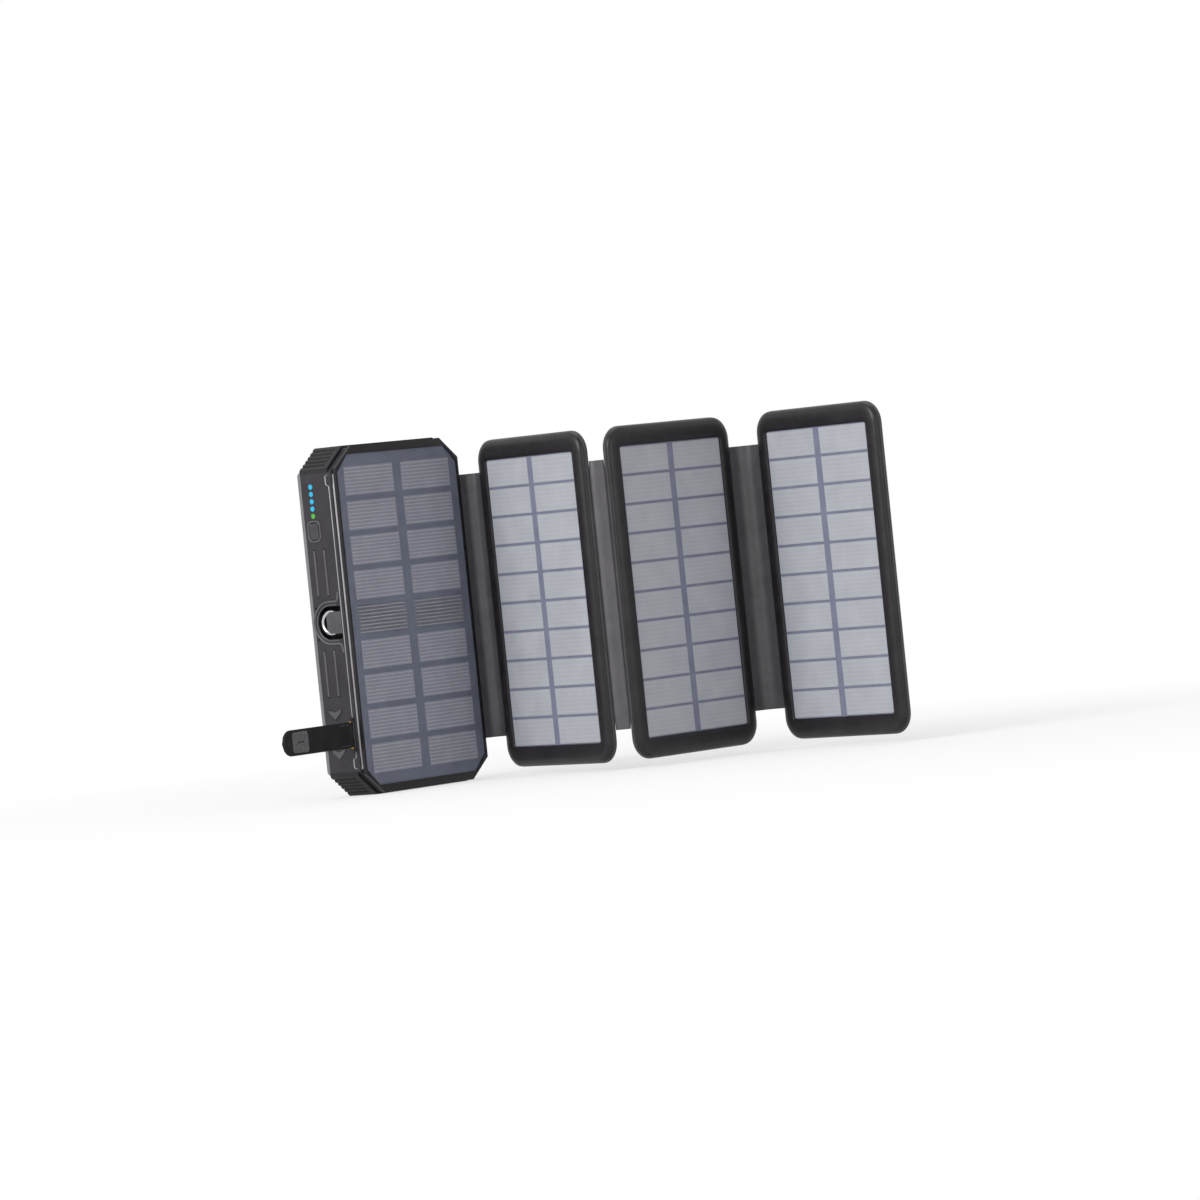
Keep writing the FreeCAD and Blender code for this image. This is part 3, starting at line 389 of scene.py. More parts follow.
def mesh_of(name: str, points: Sequence[Vector], faces: Sequence[Sequence[int]]
            ) -> bpy.types.Mesh:
    """Make a mesh with merged doubles whose faces point outwards.

    Args:
        name: the mesh's name.
        points: its corners.
        faces: corner numbers of each face.

    Returns:
        The new mesh.
    """
    mesh = bpy.data.meshes.new(name)
    mesh.from_pydata([tuple(point) for point in points], [], [tuple(face) for face in faces])
    work = bmesh.new()
    work.from_mesh(mesh)
    bmesh.ops.remove_doubles(work, verts=work.verts, dist=1e-7)
    bmesh.ops.recalc_face_normals(work, faces=work.faces)
    work.to_mesh(mesh)
    work.free()
    mesh.update()
    return mesh


def loft(name: str, rings: Sequence[Sequence[Vector]], capped: bool = True
         ) -> bpy.types.Mesh:
    """Skin a row of rings that have the same number of points.

    Args:
        name: the mesh's name.
        rings: the rings in order.
        capped: close both ends, or else join the last ring to the first.

    Returns:
        The new mesh.
    """
    count = len(rings[0])
    points = [point for ring in rings for point in ring]
    faces: list[list[int]] = []
    last = len(rings) - 1 if capped else len(rings)
    for row in range(last):
        low, high = row * count, ((row + 1) % len(rings)) * count
        for place in range(count):
            after = (place + 1) % count
            faces.append([low + place, low + after, high + after, high + place])
    if capped:
        faces.append(list(range(count))[::-1])
        faces.append([(len(rings) - 1) * count + place for place in range(count)])
    return mesh_of(name, points, faces)


def rounded_box(half_wide: float, half_tall: float, radius: float, steps: int = 8
                ) -> list[tuple[float, float]]:
    """List the points of a rounded rectangle about the origin.

    Args:
        half_wide: half its width.
        half_tall: half its height.
        radius: its corner radius.
        steps: pieces of each corner's arc.

    Returns:
        Points in order round the outline.
    """
    outline = []
    for corner, (across, up) in enumerate(((1, 1), (-1, 1), (-1, -1), (1, -1))):
        for step in range(steps + 1):
            angle = math.pi / 2 * (corner + step / steps)
            outline.append((across * (half_wide - radius) + radius * math.cos(angle),
                            up * (half_tall - radius) + radius * math.sin(angle)))
    return outline


def smooth_path(corners: Sequence[Vector], steps: int) -> list[Vector]:
    """Run a smooth line through the given points.

    Args:
        corners: the points it passes through.
        steps: pieces between two points.

    Returns:
        Points along the line, ends included.
    """
    ends = [corners[0] * 2 - corners[1], *corners, corners[-1] * 2 - corners[-2]]
    line = []
    for place in range(1, len(ends) - 2):
        before, start, stop, after = ends[place - 1:place + 3]
        for step in range(steps):
            part = step / steps
            line.append(0.5 * ((2 * start) + (stop - before) * part
                               + (2 * before - 5 * start + 4 * stop - after) * part ** 2
                               + (3 * start - before - 3 * stop + after) * part ** 3))
    line.append(corners[-1].copy())
    return line


def cloth_strip(name: str, path: Sequence[Vector], width: tuple[Vector, Vector],
                thick: float, rows: int = 16) -> bpy.types.Mesh:
    """Make a thick strip that follows a path, with rounded long edges.

    Args:
        name: the mesh's name.
        path: the middle line of the strip.
        width: offsets from the path to its two long edges.
        thick: its thickness.
        rows: pieces across its width.

    Returns:
        The closed mesh.
    """
    across = (width[1] - width[0]).normalized()
    span = (width[1] - width[0]).length
    sections = []
    for place, point in enumerate(path):
        ahead = path[min(place + 1, len(path) - 1)] - path[max(place - 1, 0)]
        side = ahead.cross(across).normalized()
        front, back = [], []
        for row in range(rows + 1):
            part = row / rows
            edge = min(part, 1 - part) * span
            half = thick / 2 * min(1.0, math.sqrt(max(0.04, edge / thick)))
            middle = point + width[0] + (width[1] - width[0]) * part
            front.append(middle + side * half)
            back.append(middle - side * half)
        sections.append(front + back[::-1])
    return loft(name, sections)


def ribbon(name: str, path: Sequence[Vector], out: Vector, wide: float, rise: float,
           closed: bool = False) -> bpy.types.Mesh:
    """Raise a rounded rim along a path that lies on a flat face.

    Args:
        name: the mesh's name.
        path: the rim's middle line on the face.
        out: the face's outward direction.
        wide: the rim's width.
        rise: how far it stands proud.
        closed: the path's end meets its start.

    Returns:
        The closed mesh.
    """
    profile = [(-0.5, -0.6), (-0.5, 0.45), (-0.36, 0.86), (0.0, 1.0), (0.36, 0.86),
               (0.5, 0.45), (0.5, -0.6)]
    rings = []
    count = len(path)
    for place, point in enumerate(path):
        if closed:
            ahead = path[(place + 1) % count] - path[place - 1]
        else:
            ahead = path[min(place + 1, count - 1)] - path[max(place - 1, 0)]
        side = ahead.cross(out).normalized()
        rings.append([point + side * (across * wide) + out * (up * rise)
                      for across, up in profile])
    return loft(name, rings, capped=not closed)


def full_turn(count: int) -> list[float]:
    """List evenly spaced angles of one whole turn.

    Args:
        count: how many.

    Returns:
        The angles in radians.
    """
    return [2 * math.pi * step / count for step in range(count)]


def joined(name: str, meshes: Sequence[bpy.types.Mesh]) -> bpy.types.Mesh:
    """Join meshes into one.

    Args:
        name: the new mesh's name.
        meshes: the meshes to join.

    Returns:
        The joined mesh.
    """
    work = bmesh.new()
    for mesh in meshes:
        work.from_mesh(mesh)
    whole = bpy.data.meshes.new(name)
    work.to_mesh(whole)
    work.free()
    return whole


def soft_path(corners: Sequence[Vector], steps: int) -> list[Vector]:
    """Run a soft line that cuts inside the given corners.

    Args:
        corners: the corners it bends round, with both ends.
        steps: pieces of each bend.

    Returns:
        Points along the line, ends included.
    """
    line = [corners[0].copy()]
    for place in range(1, len(corners) - 1):
        start = corners[0] if place == 1 else (corners[place - 1] + corners[place]) / 2
        stop = (corners[-1] if place == len(corners) - 2
                else (corners[place] + corners[place + 1]) / 2)
        for step in range(1, steps + 1):
            part = step / steps
            line.append(start * (1 - part) ** 2 + corners[place] * (2 * part * (1 - part))
                        + stop * part ** 2)
    return line


class Pattern(Graph):
    """A Geometry Nodes tree that repeats one small shape over a field."""

    def __init__(self, name: str) -> None:
        """Start an empty tree with a geometry output.

        Args:
            name: the tree's name.
        """
        super().__init__(bpy.data.node_groups.new(name, "GeometryNodeTree"))
        for way in ("INPUT", "OUTPUT"):
            self.tree.interface.new_socket("Geometry", in_out=way,
                                           socket_type="NodeSocketGeometry")
        self.given = self.add("NodeGroupInput")
        self.sockets: dict[str, str] = {}

    def ask(self, name: str, kind: str = "NodeSocketFloat") -> bpy.types.NodeSocket:
        """Add a named input to the tree.

        Args:
            name: the input's name.
            kind: its socket type.

        Returns:
            Its socket inside the tree.
        """
        made = self.tree.interface.new_socket(name, in_out="INPUT", socket_type=kind)
        self.sockets[name] = made.identifier
        return self.given.outputs[name]

    def vector(self, **axes: bpy.types.NodeSocket) -> bpy.types.NodeSocket:
        """Make a vector whose other axes are zero.

        Args:
            axes: the socket of each axis that has one.

        Returns:
            The vector's socket.
        """
        node = self.add("ShaderNodeCombineXYZ", X=0, Y=0, Z=0)
        for axis, value in axes.items():
            self.link(value, node.inputs[axis])
        return node.outputs[0]

    def row(self, count: bpy.types.NodeSocket, pitch: bpy.types.NodeSocket, axis: str
            ) -> bpy.types.NodeSocket:
        """Make a centred row of points.

        Args:
            count: how many points.
            pitch: their spacing.
            axis: X or Z.

        Returns:
            The row's geometry socket.
        """
        line = self.add("GeometryNodeMeshLine")
        self.link(count, line.inputs["Count"])
        half = self.math("MULTIPLY", self.math("SUBTRACT", count, 1.0), -0.5)
        self.link(self.vector(**{axis: self.math("MULTIPLY", half, pitch)}),
                  line.inputs["Start Location"])
        self.link(self.vector(**{axis: pitch}), line.inputs["Offset"])
        return line.outputs["Mesh"]

    def repeat(self, points: bpy.types.NodeSocket, shape: bpy.types.NodeSocket
               ) -> bpy.types.NodeSocket:
        """Put the shape on every point.

        Args:
            points: the points.
            shape: the shape.

        Returns:
            The instances' socket.
        """
        node = self.add("GeometryNodeInstanceOnPoints")
        self.link(points, node.inputs["Points"])
        self.link(shape, node.inputs["Instance"])
        return node.outputs["Instances"]

    def close(self, shape: bpy.types.NodeSocket) -> None:
        """Realize the instances, set their material and end the tree.

        Args:
            shape: the instances.
        """
        real = self.add("GeometryNodeRealizeInstances")
        self.link(shape, real.inputs[0])
        paint = self.add("GeometryNodeSetMaterial")
        self.link(real.outputs[0], paint.inputs["Geometry"])
        self.link(self.ask("Material", "NodeSocketMaterial"), paint.inputs["Material"])
        self.link(paint.outputs[0], self.add("NodeGroupOutput").inputs[0])

    def mesh(self, name: str, place: Matrix, **values: object) -> bpy.types.Mesh:
        """Run the tree once and return its result as a plain mesh.

        Args:
            name: the mesh's name.
            place: where the field's middle goes.
            values: the inputs, with _ for a space.

        Returns:
            The placed mesh.
        """
        carrier = bpy.data.objects.new(name + "_carrier", bpy.data.meshes.new(name + "_seed"))
        bpy.context.scene.collection.objects.link(carrier)
        modifier = carrier.modifiers.new("field", "NODES")
        modifier.node_group = self.tree
        for key, value in values.items():
            modifier[self.sockets[key.replace("_", " ")]] = value
        graph = bpy.context.evaluated_depsgraph_get()
        mesh = bpy.data.meshes.new_from_object(carrier.evaluated_get(graph))
        mesh.name = name
        carrier.modifiers.remove(modifier)
        bpy.data.objects.remove(carrier)
        mesh.transform(place)
        return mesh


class LineField(Pattern):
    """Printed lines: a block of lines on each cell of a two-way field."""

    def __init__(self) -> None:
        """Build the tree."""
        super().__init__("printed_lines")
        count = "NodeSocketInt"
        columns = self.row(self.ask("Columns", count), self.ask("Column Pitch"), "X")
        rows = self.row(self.ask("Rows", count), self.ask("Row Pitch"), "Z")
        lines = self.row(self.ask("Lines", count), self.ask("Line Pitch"), "Z")
        bar = self.add("GeometryNodeMeshCube")
        self.link(self.vector(X=self.ask("Line Length"), Y=self.ask("Line Rise"),
                              Z=self.ask("Line Width")), bar.inputs["Size"])
        block = self.repeat(lines, bar.outputs["Mesh"])
        self.close(self.repeat(columns, self.repeat(rows, block)))


class DotField(Pattern):
    """Two offset grids of small domed dots."""

    def __init__(self) -> None:
        """Build the tree."""
        super().__init__("raised_dots")
        count = "NodeSocketInt"
        pitch = self.ask("Pitch")
        columns = self.row(self.ask("Columns", count), pitch, "X")
        rows = self.row(self.ask("Rows", count), pitch, "Z")
        ball = self.add("GeometryNodeMeshUVSphere", Segments=8, Rings=5)
        self.link(self.ask("Radius"), ball.inputs["Radius"])
        grid = self.repeat(columns, self.repeat(rows, ball.outputs["Mesh"]))
        shift = self.add("GeometryNodeTransform")
        half = self.math("MULTIPLY", pitch, 0.5)
        self.link(grid, shift.inputs["Geometry"])
        self.link(self.vector(X=half, Z=half), shift.inputs["Translation"])
        both = self.add("GeometryNodeJoinGeometry")
        self.link(grid, both.inputs[0])
        self.link(shift.outputs[0], both.inputs[0])
        self.close(both.outputs[0])


class StitchRow(Pattern):
    """A straight row of short raised stitches."""

    def __init__(self) -> None:
        """Build the tree."""
        super().__init__("stitch_row")
        row = self.row(self.ask("Count", "NodeSocketInt"), self.ask("Pitch"), "X")
        ball = self.add("GeometryNodeMeshUVSphere", Segments=8, Rings=6, Radius=0.5)
        squeeze = self.add("GeometryNodeTransform")
        self.link(ball.outputs["Mesh"], squeeze.inputs["Geometry"])
        self.link(self.vector(X=self.ask("Stitch Length"), Y=self.ask("Stitch Rise"),
                              Z=self.ask("Stitch Width")), squeeze.inputs["Scale"])
        self.close(self.repeat(row, squeeze.outputs[0]))


@dataclass(frozen=True)
class Softbox:
    """A square lamp, placed from the aim along the view, across it and up."""

    name: str
    back: float
    right: float
    up: float
    power: float
    size: float


@dataclass
class Studio:
    """Camera, lamps, floor and backdrop."""

    aim: tuple[float, float, float] = (0.06163, -0.07184, 0.07646)
    eye: tuple[float, float, float] = (-2.35706, -2.08915, 0.13049)
    up: tuple[float, float, float] = (0.07803, -0.06691, 0.99470)
    lens: float = 207.59
    softboxes: tuple[Softbox, ...] = (
        Softbox("key_softbox", 1.3, -1.25, 0.75, 30.0, 1.1),
        Softbox("fill_softbox", 1.7, 1.2, 0.35, 9.0, 1.4),
        Softbox("top_softbox", -0.4, 0.0, 1.6, 7.0, 1.2))
    ambient: float = 0.42
    sensor: float = 36.0
    farthest: float = 50.0
    floor_half: float = 6.0
    floor_grey: float = 0.9
    shadow_heart: tuple[float, float, float] = (0.03, -0.09, 0.0)
    shadow_near: float = 0.12
    shadow_far: float = 0.5
    shadow_white: float = 0.6

    def build(self) -> None:
        """Place the camera, the lamps, the floor and the backdrop."""
        aim, eye = Vector(self.aim), Vector(self.eye)
        back = (eye - aim).normalized()
        up = Vector(self.up)
        right = up.cross(back).normalized()
        up = back.cross(right).normalized()
        turn = Matrix((right, up, back)).transposed().to_4x4()
        lens = bpy.data.cameras.new("view")
        lens.lens = self.lens
        lens.sensor_width = self.sensor
        lens.clip_end = self.farthest
        camera = bpy.data.objects.new("view", lens)
        camera.matrix_world = Matrix.Translation(eye) @ turn
        bpy.context.scene.collection.objects.link(camera)
        bpy.context.scene.camera = camera
        for box in self.softboxes:
            light = bpy.data.lights.new(box.name, "AREA")
            light.energy = box.power
            light.size = box.size
            lamp = bpy.data.objects.new(box.name, light)
            lamp.location = aim + back * box.back + right * box.right + Vector((0, 0, box.up))
            lamp.rotation_euler = (aim - lamp.location).to_track_quat("-Z", "Y").to_euler()
            bpy.context.scene.collection.objects.link(lamp)
        self._backdrop()
        self._floor()
        bpy.context.scene.view_settings.view_transform = "Standard"

    def _seen(self, graph: Graph) -> bpy.types.NodeSocket:
        """Find the rays that should meet plain white.

        Args:
            graph: the nodes to build in.

        Returns:
            A socket that is 1 for such rays, or else 0.
        """
        path = graph.add("ShaderNodeLightPath")
        factor = path.outputs["Is Camera Ray"]
        for name in ("Is Glossy Ray", "Is Transmission Ray"):
            factor = graph.math("MAXIMUM", factor, path.outputs[name])
        return factor

    def _finish(self, graph: Graph, factor: bpy.types.NodeSocket, plain: bpy.types.Node,
                white: bpy.types.Node, output: str) -> None:
        """Mix the plain shader with white and end the tree.

        Args:
            graph: the nodes to build in.
            factor: the share of white.
            plain: the shader that lights or shades the object.
            white: the white shader.
            output: the type of the output node.
        """
        mix = graph.add("ShaderNodeMixShader")
        graph.link(factor, mix.inputs["Fac"])
        graph.link(plain.outputs[0], mix.inputs[1])
        graph.link(white.outputs[0], mix.inputs[2])
        graph.link(mix.outputs[0], graph.add(output).inputs["Surface"])

    def _backdrop(self) -> None:
        """Build a white backdrop that lights the object only softly."""
        world = bpy.data.worlds.new("backdrop")
        bpy.context.scene.world = world
        world.use_nodes = True
        world.node_tree.nodes.clear()
        graph = Graph(world.node_tree)
        soft = graph.add("ShaderNodeBackground", Color=WHITE, Strength=self.ambient)
        white = graph.add("ShaderNodeBackground", Color=WHITE, Strength=1.0)
        self._finish(graph, self._seen(graph), soft, white, "ShaderNodeOutputWorld")

    def _floor(self) -> None:
        """Lay a plain white floor that keeps the object's shadow."""
        half = self.floor_half
        mesh = bpy.data.meshes.new("floor")
        mesh.from_pydata([(-half, -half, 0), (half, -half, 0), (half, half, 0),
                          (-half, half, 0)], [], [(0, 1, 2, 3)])
        floor = bpy.data.objects.new("floor", mesh)
        bpy.context.scene.collection.objects.link(floor)
        material = bpy.data.materials.new("floor_white")
        material.use_nodes = True
        material.node_tree.nodes.clear()
        graph = Graph(material.node_tree)
        paint = graph.add("ShaderNodeBsdfDiffuse", Color=(*[self.floor_grey] * 3, 1))
        white = graph.add("ShaderNodeEmission", Color=WHITE)
        away = graph.add("ShaderNodeVectorMath")
        away.operation = "DISTANCE"
        graph.link(graph.add("ShaderNodeTexCoord").outputs["Object"], away.inputs[0])
        away.inputs[1].default_value = self.shadow_heart
        fade = graph.add("ShaderNodeMapRange", From_Min=self.shadow_near,
                         From_Max=self.shadow_far, To_Min=self.shadow_white, To_Max=1.0)
        graph.link(away.outputs["Value"], fade.inputs["Value"])
        factor = graph.math("MULTIPLY", self._seen(graph), fade.outputs["Result"])
        self._finish(graph, factor, paint, white, "ShaderNodeOutputMaterial")
        mesh.materials.append(material)
        floor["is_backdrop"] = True


@dataclass
class FoldPanel:
    """One fold-out solar panel: soft frame, back shell and printed lines."""

    number: int
    joint: str
    turn: float
    half_wide: float = 41.5 * MM
    half_tall: float = 75.25 * MM
    frame_depth: float = 2.6 * MM
    corner: float = 10 * MM
    window_wide: float = 34.3 * MM
    window_tall: float = 65.95 * MM
    column_pitch: float = 35.8 * MM
    row_pitch: float = 13.19 * MM
    line_long: float = 31.0 * MM
    line_pitch: float = 1.98 * MM
    line_wide: float = 0.16 * MM
    line_rise: float = 0.06 * MM
    print_depth: float = 0.88 * MM
    hole_corner: float = 1.6 * MM
    least_corner: float = 0.4 * MM
    round_front: float = 3.4
    round_deep: float = 2.3
    lip: tuple[tuple[float, float], ...] = (
        (0.0, 0.75), (-0.25, 0.35), (-0.8, 0.22), (-1.3, 0.05), (-2.2, 0.0))
    back: tuple[tuple[float, float], ...] = (
        (2.0, 2.62), (0.45, 2.64), (0.3, 2.8), (0.02, 2.95), (0.0, 3.6), (0.15, 4.2),
        (0.5, 4.7), (1.1, 5.0), (2.0, 5.12), (6.0, 5.16), (6.6, 5.22), (7.4, 5.52),
        (8.2, 5.6), (11.0, 5.6), (11.3, 5.42), (11.8, 5.42), (12.1, 5.6), (24.0, 5.6))
    from_axis: tuple[float, float] = (0.8 * MM, -5.0 * MM)

    def place(self) -> Matrix:
        """Find where the panel stands.

        Returns:
            The matrix from the panel's own middle to the frame.
        """
        along, deep = self.from_axis
        return (Matrix.Translation(AXES[self.joint])
                @ Matrix.Rotation(math.radians(self.turn), 4, "Z")
                @ Matrix.Translation((along + self.half_wide, deep, 0)))

    def _ring(self, inset: float, level: float, wide: float, tall: float, corner: float
              ) -> list[Vector]:
        """Return one rounded ring of the panel, already in place.

        Args:
            inset: how far it lies inside the given half sizes.
            level: its depth behind the solar face.
            wide: half width.
            tall: half height.
            corner: corner radius before the inset.

        Returns:
            The ring's points.
        """
        place = self.place()
        outline = rounded_box(wide - inset, tall - inset, max(corner - inset, self.least_corner))
        return [place @ Vector((across, level, up)) for across, up in outline]

    def build(self, shop: Workshop, lines: LineField) -> None:
        """Make and join the panel's pieces.

        Args:
            shop: the workshop.
            lines: the printed line field.
        """
        name = f"panel_{self.number}"
        outer = (self.half_wide, self.half_tall, self.corner)
        hole = (self.window_wide, self.window_tall, self.hole_corner)
        rings = [self._ring(0, self.frame_depth, *hole),
                 *[self._ring(inset * MM, level * MM, *hole) for inset, level in self.lip],
                 self._ring(3.6 * MM, 0.02 * MM, *outer)]
        for part in (0.25, 0.5, 0.75, 1.0):
            angle = part * math.pi / 2
            rings.append(self._ring((self.round_front * (1 - math.sin(angle)) + 0.1) * MM,
                                    self.round_deep * (1 - math.cos(angle)) * MM, *outer))
        rings.append(self._ring(0.12 * MM, self.frame_depth, *outer))
        soft = shop.piece(name + "_soft_frame", loft(name + "_soft_frame", rings, False),
                          "panel_frame", 50)
        shop.fasten(soft, name)
        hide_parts(name + "_frame")
        rings = [self._ring(inset * MM, level * MM, *outer) for inset, level in self.back]
        shell = shop.piece(name + "_back", loft(name + "_back", rings), "panel_back", 40)
        shop.fasten(shell, name)
        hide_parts(name + "_shell")
        mesh = lines.mesh(
            name + "_print", self.place() @ Matrix.Translation((0, self.print_depth, 0)),
            Columns=2, Column_Pitch=self.column_pitch, Rows=10, Row_Pitch=self.row_pitch,
            Lines=6, Line_Pitch=self.line_pitch, Line_Length=self.line_long,
            Line_Rise=self.line_rise, Line_Width=self.line_wide,
            Material=shop.materials["print_faint"])
        shop.fasten(shop.piece(name + "_print", mesh, "print_faint"), name)


@dataclass
class FoldStrip:
    """A coated fabric strip that bends over several upright axes."""

    name: str
    bodies: tuple[str, ...]
    joints: tuple[str, ...]
    turn_in: float
    turn_out: float
    nodes: tuple[str, ...]
    thick: float = 1.0 * MM
    low: float = 18.25 * MM
    high: float = 139.75 * MM
    tuck: float = 1.3 * MM
    reach: float = 1.6 * MM
    steps: int = 12

    def build(self, shop: Workshop) -> None:
        """Make one blended piece for each axis.

        Args:
            shop: the workshop.
        """
        axes = [Vector((*AXES[joint].xy, 0)) for joint in self.joints]
        heading = [Vector((math.cos(math.radians(turn)), math.sin(math.radians(turn)), 0))
                   for turn in (self.turn_in, self.turn_out)]
        points = [axes[0] - heading[0] * self.tuck, *axes, axes[-1] + heading[1] * self.tuck]
        path = soft_path(points, self.steps)
        cuts = [place * self.steps for place in range(len(axes) + 1)]
        width = (Vector((0, 0, self.low)), Vector((0, 0, self.high)))
        for place, axis in enumerate(axes):
            part = path[cuts[place]:cuts[place + 1] + 1]
            name = f"{self.name}_cloth_{place + 1}"
            mesh = cloth_strip(name, part, width, self.thick, rows=20)
            piece = shop.piece(name, mesh, "web_fabric", 60)
            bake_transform(piece)
            if place < len(self.nodes):
                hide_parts(self.nodes[place])


@dataclass
class ClosingStrap:
    """The soft closing strap with its grey patch and stitches."""

    root: float = -43.1 * MM
    tip: float = -90.2 * MM
    middle: float = -7.2 * MM
    level: float = 28.1 * MM
    half_wide: float = 5.85 * MM
    thick: float = 1.3 * MM
    bend: float = -72.9 * MM
    patch_start: float = -73.9 * MM
    patch_end: float = -84.5 * MM
    patch_half: float = 4.6 * MM
    round_end: float = 5 * MM
    barrel: float = -44.3 * MM
    barrel_radius: float = 1.3 * MM
    sway: float = 0.25 * MM
    bend_half: float = 3 * MM
    steps: int = 48
    stitch_pitch: float = 1.5 * MM
    stitch_rows: float = 4.7 * MM
    stitch_out: float = 0.72 * MM
    stitch_root: float = -49 * MM

    def build(self, shop: Workshop, stitches: StitchRow) -> None:
        """Make the strap, its patch and its stitches.

        Args:
            shop: the workshop.
            stitches: the stitch row.
        """
        rings = []
        length = self.root - self.tip
        for step in range(self.steps + 1):
            part = step / self.steps
            spot = self.root - length * part
            left = spot - self.tip
            half = self.half_wide
            if left < self.round_end:
                half *= math.sqrt(max(0.0, 1 - (1 - left / self.round_end) ** 2)) * 0.98 + 0.02
            rise = self.thick / 2
            away = abs(spot - self.barrel)
            if away < self.barrel_radius:
                rise = max(rise, math.sqrt(self.barrel_radius ** 2 - away ** 2))
            sway = self.sway * math.sin(part * math.pi * 1.6)
            outline = rounded_box(half, rise, min(half, rise) * 0.9, 4)
            rings.append([Vector((spot, self.middle + sway + across, self.level + up))
                          for up, across in outline])
        strap = shop.piece("closing_strap", loft("closing_strap", rings), "strap_black", 60)
        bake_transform(strap)
        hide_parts("strap_root", "strap_tip")
        self._patch(shop)
        patch_spot = (self.patch_start + self.patch_end) / 2
        for word, sign in (("low", -1), ("high", 1)):
            for count, spot, body in ((7, patch_spot, "strap_end"),
                                      (4, self.stitch_root, "strap_base")):
                place = Matrix.Translation((spot, self.middle - self.stitch_out,
                                            self.level + sign * self.stitch_rows))
                name = f"stitches_{body}_{word}"
                mesh = stitches.mesh(name, place, Count=count, Pitch=self.stitch_pitch,
                                     Stitch_Length=1.0 * MM, Stitch_Rise=0.25 * MM,
                                     Stitch_Width=0.3 * MM,
                                     Material=shop.materials["thread_grey"])
                shop.fasten(shop.piece(name, mesh, "thread_grey"), body)

    def _patch(self, shop: Workshop) -> None:
        """Make the crowned grey patch.

        Args:
            shop: the workshop.
        """
        half = (self.patch_start - self.patch_end) / 2
        spot = (self.patch_start + self.patch_end) / 2
        face = self.middle - self.thick / 2
        rings = []
        for inset, rise in ((0.2, -0.3), (0.0, 0.0), (0.05, 0.25), (0.4, 0.42), (1.6, 0.5),
                            (3.6, 0.52)):
            outline = rounded_box(half - inset * MM, self.patch_half - inset * MM, 1.2 * MM, 5)
            rings.append([Vector((spot + across, face - rise * MM, self.level + up))
                          for across, up in outline])
        patch = shop.piece("strap_patch", loft("strap_patch", rings), "strap_pad", 60)
        shop.fasten(patch, "strap_end")
        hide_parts("strap_pad")


@dataclass
class LanyardBay:
    """Raised rims round the loop bay, and the metal ring inside it."""

    side: float = -42.7 * MM
    level: float = 79 * MM
    front: float = -8.4 * MM
    centre: float = -0.6 * MM
    ring_depth: float = -40.2 * MM
    ring_middle: float = 1.6 * MM
    ring_radius: float = 5.0 * MM
    ring_wide: float = 1.25 * MM
    ring_thick: float = 0.9 * MM
    rims: tuple[tuple[float, float, float], ...] = ((9.5, 1.2, 0.75), (8.1, 0.8, 0.35))
    hooked: float = 9 * MM
    hook: tuple[tuple[float, float], ...] = ((1.6, 4.2), (2.2, 0.8))
    start: float = 3.2 * MM

    def build(self, shop: Workshop) -> None:
        """Make the rims and the ring.

        Args:
            shop: the workshop.
        """
        out = Vector((-1, 0, 0))
        for number, (radius, wide, rise) in enumerate(self.rims):
            name = f"bay_rim_{number + 1}"
            # The rims' lighter grey is a painted highlight.
            mesh = ribbon(name, self._bow(radius * MM), out, wide * MM, rise * MM)
            shop.fasten(shop.piece(name, mesh, "relief_highlight_grey", 50), "unit")
        middle = Vector((self.ring_depth, self.ring_middle, self.level))
        rings = []
        for angle in full_turn(48):
            outward = Vector((0, math.cos(angle), math.sin(angle)))
            rings.append([middle + outward * (self.ring_radius + self.ring_wide * math.cos(turn))
                          + out * (self.ring_thick * math.sin(turn))
                          for turn in full_turn(14)])
        hoop = shop.piece("bay_ring", loft("bay_ring", rings, False), "ring_steel", 60)
        shop.fasten(hoop, "unit")

    def _bow(self, radius: float) -> list[Vector]:
        """Return a path round the back of the bay, open to the front.

        Args:
            radius: half the height of the bow.

        Returns:
            Points on the side face.
        """
        upper = [(self.front + self.start, radius)]
        if radius > self.hooked:
            upper = [(self.front + back * MM, radius + up * MM) for back, up in self.hook] + upper
        lower = [(back, -up) for back, up in reversed(upper)]
        arc = [(self.centre + radius * math.cos(angle), radius * math.sin(angle))
               for angle in (math.pi / 2 - math.pi * step / 24 for step in range(25))]
        return [Vector((self.side, back, self.level + up)) for back, up in upper + arc + lower]


